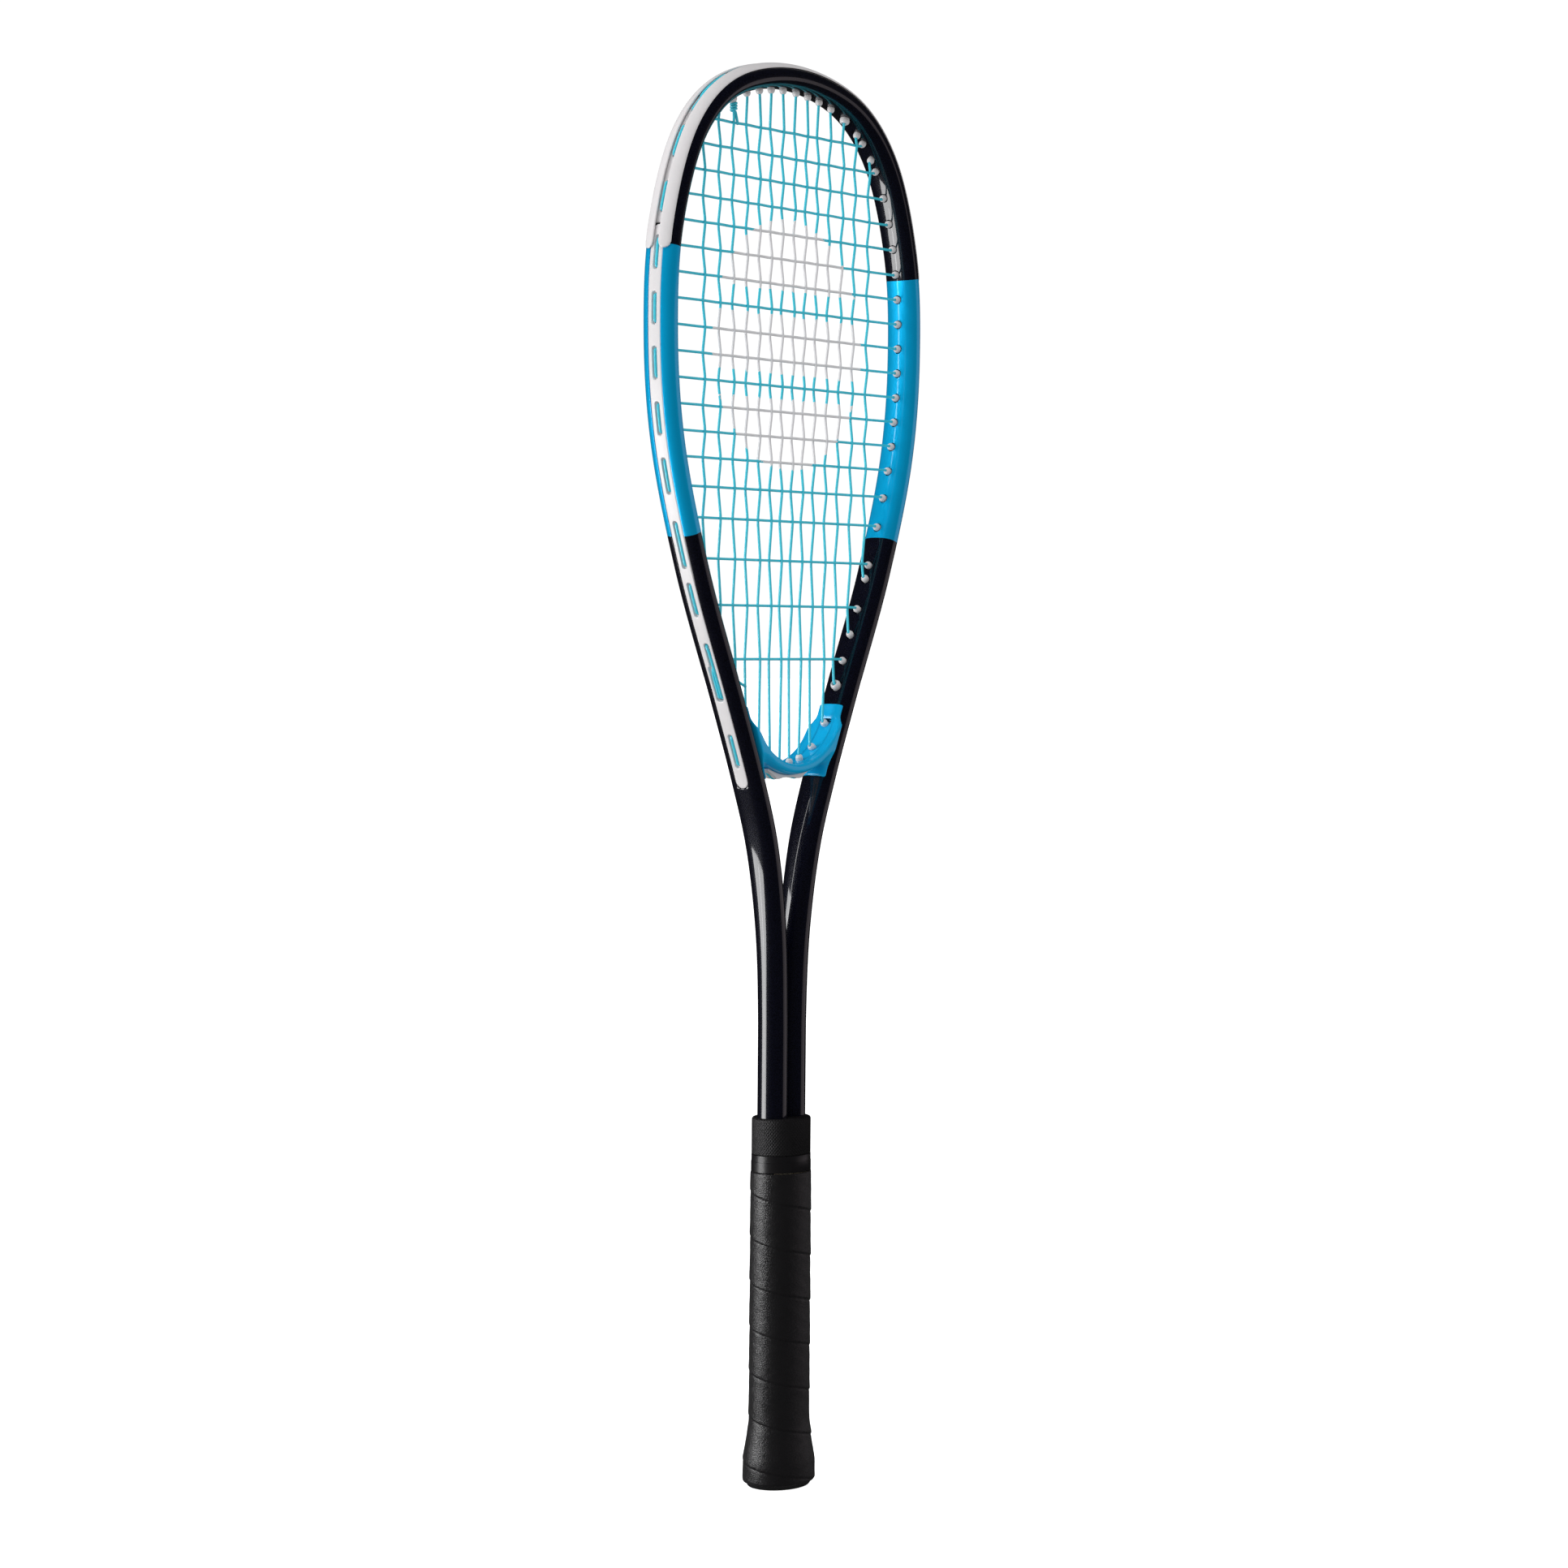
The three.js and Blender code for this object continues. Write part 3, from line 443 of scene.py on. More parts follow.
def groove_depth(z, y):
    """The groove's depth, with a rounded lower end like the strip's."""
    rise = GROOVE_HALF_WIDTH - np.sqrt(np.maximum(GROOVE_HALF_WIDTH**2 - y**2, 0))
    return GROOVE_DEPTH * smoothstep(z - rise, GROOVE_END_Z - GROOVE_FADE, GROOVE_END_Z)


def tube_rings(s, inset):
    """Rings of the tube's skin at each s; the cavity's is `inset` inside the outer one."""
    s = s[:, None]
    z = np.where(np.abs(s) < LEG_S, place(s)[1], CENTRELINE[0][1])
    width, depth, power = tube_size(z)
    width, depth = width - inset, depth - inset
    y = np.array(FACE_Y) + np.where(np.array(FACE_Y) > 3, inset, 0)
    face = width * (1 - (y / depth) ** power) ** (1 / power)
    floor = np.minimum(face, width - groove_depth(z, y))
    lip = smoothstep(y, GROOVE_HALF_WIDTH - 0.17 + inset, GROOVE_HALF_WIDTH + 0.17 + inset)
    n_face = floor + (face - floor) * lip
    start = np.arcsin((y[-1] / depth) ** (power / 2))
    angle = start + (math.pi - start) * np.arange(1, ROUND_STEPS + 1) / ROUND_STEPS
    cos, sin = np.cos(angle), np.abs(np.sin(angle))
    n_round = width * np.sign(cos) * np.abs(cos) ** (2 / power)
    y_round = depth * sin ** (2 / power)
    y_face = np.broadcast_to(y, n_face.shape)
    n = np.concatenate([n_face, n_round, n_round[:, -2::-1], n_face[:, :0:-1]], 1)
    y = np.concatenate([y_face, y_round, -y_round[:, -2::-1], -y_face[:, :0:-1]], 1)
    return bend(s, n, y)


def drills(holes, radius, wide_radius, back, ahead, sides=20):
    """One object of rods along the holes, to cut with."""
    parts = []
    for hole in holes:
        r = wide_radius if hole["wide"] else radius
        start, end = -(hole["reach"] + back), ahead
        parts.append(rod_along(hole, [(start, 0), (start, r), (end, r), (end, 0)], sides))
    return join("drills", parts)


def rod_along(hole, profile, sides, closed=False):
    """A solid of revolution about a hole's axis, from (distance outwards, radius) points."""
    centre, direction = hole["centre"], hole["direction"]
    axis = np.array([direction[0], 0, direction[1]])
    across_axis = np.array([-direction[1], 0, direction[0]])
    angle = np.arange(sides) * 2 * math.pi / sides
    around = np.cos(angle)[:, None] * np.array([0, 1.0, 0]) + np.sin(angle)[:, None] * across_axis
    base = np.array([centre[0], 0, centre[1]])
    inner = profile if closed else profile[1:-1]
    rings = np.array([base + axis * d + around * r for d, r in inner])
    if closed:
        return new_object("rod", rings.reshape(-1, 3), grid_faces(len(inner), sides, 0, True))
    return sweep("rod", rings)


def make_frame_tube():
    fine_ends = GROOVE_END_Z + 5, GROOVE_END_Z - GROOVE_FADE - 1
    fine = np.arange(*(s_at_height(z) for z in fine_ends), 0.5)
    hoop = np.arange(0, s_at_height(SHAFT_TOP_Z), 3.5)
    leg = np.linspace(s_at_height(SHAFT_TOP_Z), LEG_S, 8)
    right = np.unique(np.concatenate([hoop, fine, leg]).round(3))
    s = np.concatenate([-right[:0:-1], right])
    outer, inner = tube_rings(s, 0), tube_rings(s, WALL)
    count, sides, _ = outer.shape
    points = np.concatenate([outer.reshape(-1, 3), inner.reshape(-1, 3)])
    skin = grid_faces(count, sides)
    cavity = grid_faces(count, sides, count * sides)[:, ::-1]
    side = np.arange(sides)
    after = (side + 1) % sides
    low = np.stack([side + count * sides, after + count * sides, after, side], -1)
    shift = (count - 1) * sides
    high = np.stack([side, after, after + count * sides, side + count * sides], -1) + shift
    tube = new_object("frame_tube_finish", points, skin, cavity, low, high)
    boolean(tube, "DIFFERENCE", drills(tube_holes, TUBE_DRILL, WIDE_TUBE_DRILL, 3, 8))
    sharpen(tube, 40)
    even_normals(tube)
    return tube


# ---- Grommets and bumper ----

# A barrel's outline, (beyond the wall's inner face, radius), from the face to the tip.
BARREL_NOSE = [
    (0.0, 1.72), (0.5, 1.82), (1.0, 1.8), (1.5, 1.62), (1.95, 1.34), (2.2, 1.05), (2.3, 0.85),
]
BARREL_RADIUS = 1.72
BORE = 0.74
TUBE_DRILL = 2.25
WIDE_TUBE_DRILL = 3.0
WIDE_EXTRA = 0.68  # added to each radius of a hole that two strands share


def barrel(hole, root):
    """A grommet barrel with a rounded nose, from `root` outside the wall's centreline."""
    extra = WIDE_EXTRA if hole["wide"] else 0
    reach = hole["reach"]
    start = root / hole["slant"]
    outside = [(start, BARREL_RADIUS), (0, BARREL_RADIUS)] + [(-reach - d, r) for d, r in BARREL_NOSE]
    bore = [(-reach - 2.05, BORE), (0, BORE), (start, BORE)]
    profile = [(d, r + extra) for d, r in outside + bore]
    return rod_along(hole, profile, 24, closed=True)


def run_pockets(s, y, half_width, within):
    """Distance in the (s, y) plane from the pockets that hold the string's outer runs."""
    found = np.full(np.broadcast_shapes(np.shape(s), np.shape(y)), 100.0)
    for a, b, lane in runs:
        if "s" not in a or "s" not in b:
            continue
        ends = sorted((exit_s(a), exit_s(b)))
        if within(*ends):
            found = np.minimum(found, segment_distance(s, y, *ends, lane) - half_width)
    return found


def exit_s(hole, offset=POCKET_FLOOR):
    """Where along the tube a hole comes out at a distance from the centreline."""
    return hole["s"] + offset * hole["lean"] / hole["slant"]


def bores(s, n, y, holes, radius):
    """Distance from the holes' bores, near each hole only."""
    shape = np.broadcast_shapes(s.shape, n.shape, y.shape)
    found = np.full(shape, 100.0)
    flat = s[:, 0, 0]
    for hole in holes:
        near = slice(*np.searchsorted(flat, (hole["s"] - 6, hole["s"] + 6)))
        off_axis = (s[near] - hole["s"]) * hole["slant"] - n * hole["lean"]
        r = radius + (WIDE_EXTRA if hole["wide"] else 0)
        found[near] = np.minimum(found[near], np.hypot(off_axis, y) - r)
    return found


def add_barrels(strip, holes, root):
    parts = join("barrels", [barrel(hole, root) for hole in holes])
    boolean(strip, "UNION", parts)
    sharpen(strip, 50)
    return strip


def make_side_strip(name, side):
    """The strip in the groove from under the bumper to the throat; side is 1 on the left."""
    low_s, high_s = s_at_height(BUMPER_END_Z + LOBE_LENGTH) - 2, s_at_height(STRIP_LOW_Z)
    middle = (STRIP_FLOOR + STRIP_TOP) / 2
    half = (STRIP_TOP - STRIP_FLOOR) / 2

    def within(*places):
        return all(low_s < side * place_s < high_s for place_s in places)

    holes = [hole for hole in tube_holes if within(hole["s"])]

    def distance(s, n, y):
        t = side * s
        low_end, high_end = low_s + STRIP_HALF_WIDTH, high_s - STRIP_HALF_WIDTH
        plan = np.hypot(t - np.clip(t, low_end, high_end), y) - STRIP_HALF_WIDTH
        crown = 0.25 * (y / STRIP_HALF_WIDTH) ** 2
        body = rounded_max(plan, np.abs(n + crown - middle) - half, 0.35)
        pocket = run_pockets(s, y, POCKET_HALF_WIDTH, within)
        body = smooth_max(body, -smooth_max(pocket, POCKET_FLOOR - n, 0.5), 0.25)
        return np.maximum(body, -bores(s, n, y, holes, BORE))

    reach = STRIP_HALF_WIDTH + 0.5
    ends = sorted((side * (low_s - 1), side * (high_s + 1)))
    strip = mould(
        name, (ends[0], STRIP_FLOOR - 0.5, -reach), (ends[1], STRIP_TOP + 0.6, reach),
        STRIP_CELL, distance, from_tube,
    )
    return add_barrels(strip, holes, STRIP_FLOOR + 0.25)


BUMPER_HALF_WIDTH = 7.6
BUMPER_RISE = 1.25  # over the tube's outer face
BUMPER_HALF_DEPTH = 9.3
BUMPER_SQUARENESS = 2.2
CHANNEL_HALF_WIDTH = 1.5


def make_bumper():
    end_s = s_at_height(BUMPER_END_Z)
    lobe_s = end_s - LOBE_LENGTH
    holes = [hole for hole in tube_holes if abs(hole["s"]) < lobe_s]
    lobe_middle = (CHANNEL_HALF_WIDTH + BUMPER_HALF_WIDTH) / 2
    lobe_half = (BUMPER_HALF_WIDTH - CHANNEL_HALF_WIDTH) / 2

    def distance(s, n, y):
        side = np.abs(y)
        outer = oval_distance(
            n, y, HEAD_HALF_WIDTH + BUMPER_RISE, BUMPER_HALF_DEPTH, BUMPER_SQUARENESS
        )
        tube_gap = oval_distance(n, y, HEAD_HALF_WIDTH + 0.1, HEAD_HALF_DEPTH + 0.1, HEAD_SQUARENESS)
        shell = smooth_max(outer, -tube_gap, 0.25)
        shell = smooth_max(shell, side - BUMPER_HALF_WIDTH, 0.9)
        shell = np.maximum(shell, 1.5 - n)
        past = np.maximum(np.abs(s) - (end_s - lobe_half), 0)
        lobe = np.hypot(past, side - lobe_middle) - lobe_half
        shell = smooth_max(shell, np.where(past > 0, lobe, -100), 0.9)
        channel = rounded_max(CHANNEL_FLOOR - n, side - CHANNEL_HALF_WIDTH, 0.5)
        shell = smooth_max(shell, -channel, 0.55)
        tongue = rounded_max(np.abs(n - 4.45) - 0.85, side - STRIP_HALF_WIDTH, 0.3)
        tongue = np.maximum(tongue, np.abs(s) - lobe_s + 3)
        floor = np.maximum(tongue, n - CHANNEL_FLOOR)
        return np.maximum(np.minimum(shell, floor), -bores(s, n, y, holes, 0.95))

    bumper = mould(
        "head_bumper_finish", (-end_s - 1, 1, -8.4), (end_s + 1, HEAD_HALF_WIDTH + 1.8, 8.4),
        BUMPER_CELL, distance, from_tube,
    )
    return add_barrels(bumper, holes, 4.0)


# ---- Throat bridge ----


def nearest_rail(x, z):
    """Each point's s and n on the left rail, for points with x made negative."""
    near = (LINE_S > s_at_height(410)) & (LINE_S < s_at_height(310))
    line_s, line_x, line_z = LINE_S[near], LINE_X[near], LINE_Z[near]
    line_tx, line_tz = LINE_TX[near], LINE_TZ[near]
    px, pz = np.broadcast_arrays(-np.abs(x), z)
    flat = np.stack([px.ravel(), pz.ravel()], -1)
    i = np.empty(len(flat), int)
    for start in range(0, len(flat), 4000):
        part = flat[start : start + 4000]
        gap = (part[:, :1] - line_x) ** 2 + (part[:, 1:] - line_z) ** 2
        i[start : start + 4000] = gap.argmin(1)
    dx, dz = flat[:, 0] - line_x[i], flat[:, 1] - line_z[i]
    n = dx * line_tz[i] - dz * line_tx[i]
    s = line_s[i] + dx * line_tx[i] + dz * line_tz[i]
    return s.reshape(px.shape), n.reshape(px.shape)


def make_bridge():
    top_s, low_s = s_at_height(CHEEK_RIM_Z), s_at_height(CHEEK_LOW_Z)
    outer_radius = BRIDGE_RADIUS + BRIDGE_THICKNESS

    def distance(x, y, z):
        side = np.abs(y)
        s, n = nearest_rail(x, z)
        radius = np.hypot(x, z - BRIDGE_CENTRE_Z)
        # The band between the rails, thinner in front and behind, with a shallow recess on top.
        edge = 1.1 * smoothstep(side, 5.5, BRIDGE_HALF_DEPTH)
        band = np.maximum(BRIDGE_RADIUS - radius, radius - outer_radius + edge)
        band = rounded_max(band, side - BRIDGE_HALF_DEPTH, 1.7)
        band = np.maximum(band, z - CHEEK_TOP_Z - 6)
        # The saddle over the inner part of each rail.
        width, depth, power = tube_size(z)
        sleeve = oval_distance(n, y, width + SADDLE_THICKNESS, depth + SADDLE_THICKNESS, power)
        low_edge = low_s + 1.2 * (n + 5.5) / 5.5 - 2.2
        reach = rounded_max(top_s - s, s - low_edge, 3.0)
        sleeve = rounded_max(sleeve, reach, 0.7)
        body = smooth_min(band, sleeve, 6.0)
        body = rounded_max(body, n + CHEEK_SHORT, 0.6)
        # Towards its top the cheek thins to a skin on the rail, with rounded corners.
        spare = 8 * (1 - smoothstep(z, CHEEK_RIM_Z - 20, CHEEK_RIM_Z - 3))
        skin = oval_distance(n, y, width + SADDLE_THICKNESS, depth + SADDLE_THICKNESS, power) - spare
        body = np.where(z > CHEEK_RIM_Z - 20, smooth_max(body, skin, 1.0), body)
        body = smooth_max(body, rounded_max(top_s - s, side - BRIDGE_HALF_DEPTH, 3.2), 0.8)
        body = smooth_max(body, s - low_edge - 0.6 - 60 * smoothstep(-n, 7, 12), 1.0)
        body = smooth_max(body, side - BRIDGE_HALF_DEPTH, 0.6)
        # A channel for the barrels and a recessed band in front of and behind it.
        top_depth = 0.55 * (1 - smoothstep(side, 3.1, 3.5))
        top_depth = top_depth + 0.4 * smoothstep(side, 4.1, 4.4) * (1 - smoothstep(side, 7.5, 8.0))
        top_depth = top_depth * (1 - smoothstep(z, CHEEK_RIM_Z - 5, CHEEK_RIM_Z - 3))
        body = np.maximum(body, BRIDGE_RADIUS + top_depth - radius)
        tube_gap = oval_distance(n, y, width + 0.05, depth + 0.05, power)
        return np.maximum(body, -tube_gap)

    half = 43
    bridge = mould(
        "throat_bridge_finish", (-half, -10.6, CHEEK_LOW_Z - 4), (half, 10.6, CHEEK_TOP_Z + 3),
        BRIDGE_CELL, distance, np.asarray,
    )
    lower = [hole for hole in (*rail_bottoms, *crosses[-1]) if hole["centre"][1] < CHEEK_TOP_Z + 8]
    boolean(bridge, "DIFFERENCE", drills([*lower, *bridge_bottoms], 1.74, 2.4, 4, 8))
    sharpen(bridge, 45)
    return bridge


BRIDGE_STRIP_LOW = BRIDGE_RADIUS + BRIDGE_THICKNESS + 0.1
BRIDGE_STRIP_REACH = 0.41


def bridge_strip_thickness(angle):
    """The strip swells under each run of string, so that it bends round a saddle."""
    x = np.abs(BRIDGE_STRIP_LOW * np.sin(angle))
    middle = (MAIN_LOW_X[0] + MAIN_LOW_X[1]) / 2 + 1.0
    return 1.35 + 1.5 * np.exp(-(((x - middle) / 3.4) ** 2))


def from_bridge_arc(p):
    """World points from (arc length under the bridge, radius, y)."""
    angle = p[:, 0] / BRIDGE_STRIP_LOW
    return np.stack([p[:, 1] * np.sin(angle), p[:, 2], BRIDGE_CENTRE_Z - p[:, 1] * np.cos(angle)], -1)


def make_bridge_strip():
    length = BRIDGE_STRIP_REACH * BRIDGE_STRIP_LOW

    def distance(a, r, y):
        thick = bridge_strip_thickness(a / BRIDGE_STRIP_LOW)
        middle = BRIDGE_STRIP_LOW + thick / 2
        body = rounded_max(np.abs(r - middle) - thick / 2, np.abs(y) - 3.4, 0.45)
        body = rounded_max(body, np.abs(a) - length, 1.0)
        run = segment_distance(np.abs(a), y, MAIN_LOW_X[0] + 0.9, MAIN_LOW_X[1] + 1.6) - 0.8
        return smooth_max(body, -smooth_max(run, BRIDGE_STRIP_LOW + thick - 0.9 - r, 0.3), 0.25)

    strip = mould(
        "bridge_grommet_strip_finish", (-length - 1, BRIDGE_STRIP_LOW - 0.5, -4),
        (length + 1, BRIDGE_STRIP_LOW + 3.6, 4), BRIDGE_STRIP_CELL, distance, from_bridge_arc,
    )
    boolean(strip, "DIFFERENCE", drills(bridge_bottoms, BORE, BORE, 4, 9))
    return add_barrels(strip, bridge_bottoms, BRIDGE_THICKNESS / 2 + 0.6)


# ---- String ----

STRING_SIDES = 10
MAIN_BOW = 0.78
CROSS_BOW = 0.6
WEAVE_TURN = 2.5  # length of the bend on each side of a crossing
HOLE_TURN = 1.2
KNOT_PITCH = 1.3
KNOT_RADIUS = 1.3


def at(point, y):
    return np.array([point[0], y, point[1]])


def run_offset(s):
    """How far outside the centreline the string lies in the bumper and in the side strips."""
    under_bumper = s_at_height(BUMPER_END_Z) - LOBE_LENGTH - 3
    floor = CHANNEL_FLOOR + (POCKET_FLOOR - CHANNEL_FLOOR) * smoothstep(
        np.abs(s), under_bumper, under_bumper + 4
    )
    return floor + STRING_RADIUS


def outer_run(a, b, lane, y_from=0.0, y_to=0.0):
    """Corners of the string between two holes, on the outside."""
    if "angle" in a:
        return bridge_run(a, b)
    start, end = (hole["s"] + run_offset(hole["s"]) * hole["lean"] / hole["slant"] for hole in (a, b))
    s = np.linspace(start, end, max(3, int(abs(end - start) / 3)))
    y = np.full(len(s), float(lane))
    y[0], y[-1] = y_from, y_to
    return [(point, HOLE_TURN) for point in bend(s, run_offset(s), y)]


def bridge_run(a, b):
    angles = np.linspace(a["angle"], b["angle"], 9)
    radius = BRIDGE_STRIP_LOW + bridge_strip_thickness(angles) - 0.9 + STRING_RADIUS
    points = from_bridge_arc(np.stack([angles * BRIDGE_STRIP_LOW, radius, 0 * angles], -1))
    return [(point, HOLE_TURN) for point in points]


def woven_main(i, y_bottom, y_top):
    """A main from its bend at the bottom to the one at the top, over and under the crosses."""
    low, high = bottoms[i]["bend"], tops[i]["bend"]
    points = [(at(low, y_bottom), HOLE_TURN)]
    for k in range(len(cross_z) - 1, -1, -1):
        z = cross_z[k]
        if low[1] + 2 < z < high[1] - 2:
            x = np.interp(z, (low[1], high[1]), (low[0], high[0]))
            bow = MAIN_BOW if (i + k) % 2 else -MAIN_BOW
            points.append((np.array([x, bow, z]), WEAVE_TURN))
    return [*points, (at(high, y_top), HOLE_TURN)]


def woven_cross(k):
    """A cross from left to right."""
    left, right = (hole["bend"] for hole in crosses[k])
    points = [(at(left, 0), HOLE_TURN)]
    for i, (top, bottom) in enumerate(zip(tops, bottoms)):
        x, z = top["bend"][0], cross_z[k]
        if bottom["bend"][1] + 2 < z < top["bend"][1] - 2 and abs(x) < abs(left[0]) - 2:
            points.append((np.array([x, -CROSS_BOW if (i + k) % 2 else CROSS_BOW, z]), WEAVE_TURN))
    return [*points, (at(right, 0), HOLE_TURN)]


def tie_off(hole, turns, inwards, tail_heading):
    """Half hitches round the main just inside a hole, then the cut end; from the hole inwards."""
    inwards, tail_heading = np.array([inwards[0], 0, inwards[1]]), np.array([*tail_heading])
    sideways = np.array([1.0, 0, 0])
    origin = at(hole["bend"], -LANE)
    steps = np.arange(0, turns * 8 + 3)
    angle = steps * math.pi / 4
    rise = steps / 8 * KNOT_PITCH - 0.3
    ring = np.cos(angle)[:, None] * np.array([0, 1.0, 0]) + np.sin(angle)[:, None] * sideways
    coil = origin + inwards * rise[:, None] + ring * KNOT_RADIUS
    end = coil[-1]
    tail = [end + tail_heading * 1.5, end + tail_heading * 6.5]
    return [(at(hole["bend"], LANE), HOLE_TURN), *[(p, 0.6) for p in coil], *[(p, 1.0) for p in tail]]


def string_route():
    """All corners of the one string, with how much of each side the corner's curve takes."""
    top_tie, bottom_tie = tops[TIE_MAIN], bottoms[TIE_MAIN]
    route = tie_off(top_tie, 3, (0, -1), (0.05, -0.2, -0.97))[::-1]
    route += outer_run(top_tie, crosses[0][0], LANE, LANE)
    weave = range(len(crosses) - 1)
    for k in weave:
        cross = woven_cross(k)
        route += cross[::-1] if k % 2 else cross
        side = 0 if k % 2 else 1
        if k + 1 in weave:
            route += outer_run(crosses[k][side], crosses[k + 1][side], 0)
    route += outer_run(crosses[-2][0], bottoms[0], 0)
    for i in range(len(tops)):
        shared = -LANE if i == TIE_MAIN else 0
        main = woven_main(i, shared, shared)
        route += main[::-1] if i % 2 else main
        if i + 1 < len(tops):
            row = bottoms if i % 2 else tops
            following = -LANE if i + 1 == TIE_MAIN else 0
            route += outer_run(row[i], row[i + 1], -LANE if i < TIE_MAIN else 0, shared, following)
    route += outer_run(bottoms[-1], crosses[-1][1], 0)
    route += woven_cross(len(crosses) - 1)[::-1]
    route += outer_run(crosses[-1][0], bottom_tie, LANE, 0, LANE)
    return route + tie_off(bottom_tie, 1, (0, 1), (0.88, -0.15, -0.45))


def smooth_route(route):
    """Points along the route, with each corner replaced by a curve."""
    points = np.array([point for point, _ in route])
    reach = np.array([turn for _, turn in route])
    legs = np.diff(points, axis=0)
    lengths = np.linalg.norm(legs, axis=1)
    units = legs / lengths[:, None]
    out = [points[0]]
    for i in range(1, len(points) - 1):
        before = min(reach[i], 0.48 * lengths[i - 1])
        after = min(reach[i], 0.48 * lengths[i])
        start, end = points[i] - units[i - 1] * before, points[i] + units[i] * after
        for t in (0, 0.25, 0.5, 0.75, 1):
            out.append((1 - t) ** 2 * start + 2 * t * (1 - t) * points[i] + t * t * end)
    out.append(points[-1])
    return np.array(out)


def carried_frames(path):
    """A unit vector square to the path at each point, carried along without twist."""
    tangent = np.gradient(path, axis=0)
    tangent /= np.linalg.norm(tangent, axis=1)[:, None]
    normal = np.cross(tangent[0], (1.0, 0, 0))
    normals = []
    for t in tangent:
        normal = normal - t * (normal @ t)
        normal = normal / np.linalg.norm(normal)
        normals.append(normal)
    return tangent, np.array(normals)


def wrapped_uv(piece, around, along):
    """A UV map from each vertex's turns round the piece and a length in metres."""
    mesh = piece.data
    corner = np.empty(len(mesh.loops), np.int32)
    mesh.loops.foreach_get("vertex_index", corner)
    start = np.empty(len(mesh.polygons), np.int32)
    total = np.empty(len(mesh.polygons), np.int32)
    mesh.polygons.foreach_get("loop_start", start)
    mesh.polygons.foreach_get("loop_total", total)
    u = around[corner]
    first = np.repeat(u[start], total)
    u = u + np.round(first - u)
    layer = mesh.uv_layers.new(name="wrap")
    layer.data.foreach_set("uv", np.stack([u, along[corner]], -1).astype(np.float32).ravel())


def make_string():
    path = smooth_route(string_route())
    keep = np.concatenate([[True], np.linalg.norm(np.diff(path, axis=0), axis=1) > 0.02])
    path = path[keep]
    tangent, normal = carried_frames(path)
    side = np.cross(tangent, normal)
    turn = np.arange(STRING_SIDES) / STRING_SIDES
    angle = turn * 2 * math.pi
    ring = np.cos(angle)[None, :, None] * normal[:, None] + np.sin(angle)[None, :, None] * side[:, None]
    string = sweep("string_finish", path[:, None] + ring * STRING_RADIUS)
    along = np.repeat(arc_length(path) * MM, STRING_SIDES)
    wrapped_uv(string, np.tile(turn, len(path)), along)
    return string


# ---- Handle ----

HANDLE_SIDES = 144
HANDLE_SQUASH = 0.81  # depth of the oval over its width
HANDLE_CORE = 15.05
GRIP_THICKNESS = 1.6
GRIP_Z = (2.2, 153.2)
GRIP_PITCH = 21.8
LAP_RISE = 0.34  # of each turn over the one below
LAP_DIP = 0.22
GRIP_SEAM_TOP = 144.6  # where the uppermost seam passes the camera's left side
GRIP_SEAM_ANGLE = math.radians(126)
FLARE_Z = [0, 1, 3, 13, 18, 23, 27, 31, 40]
FLARE = [2.2, 2.9, 3.2, 3.15, 2.2, 1.3, 0.85, 0.1, 0]
TAPE_Z = (153.4, 161.6)
TAPE_END_Z = 158.2
TAPE_STEP = 0.16
COLLAR_Z = (161.7, 179.5)
LEG_HOLE_SIDES = 48
# The cap's outline, (beyond the handle's core, z), from its recess round to its cup.
CAP_PROFILE = [
    (-5.2, 0.9), (-4.6, 0.35), (-3.8, 0), (0.9, 0), (1.7, 0.25), (2.3, 0.8), (2.75, 1.7),
    (2.9, 3), (2.9, 12), (1.8, 18), (0.9, 23), (0.55, 27), (0, 27), (0, 3),
]


def oval_rings(radius, z):
    """Rings of the handle's oval; radius is (rings, sides) and z one for each ring or point."""
    angle = np.arange(HANDLE_SIDES) * 2 * math.pi / HANDLE_SIDES
    radius, z = np.broadcast_arrays(radius, z)
    return np.stack([radius * np.cos(angle), radius * HANDLE_SQUASH * np.sin(angle), z], -1)


def oval_uv(piece):
    mesh = piece.data
    co = np.empty(len(mesh.vertices) * 3, np.float32)
    mesh.vertices.foreach_get("co", co)
    x, y, z = co.reshape(-1, 3).T
    wrapped_uv(piece, np.arctan2(y / HANDLE_SQUASH, x) / (2 * math.pi), z)


def flare(z):
    spread = np.linspace(-1.5, 1.5, 7)
    return np.mean([np.interp(z + d, FLARE_Z, FLARE) for d in spread], axis=0)


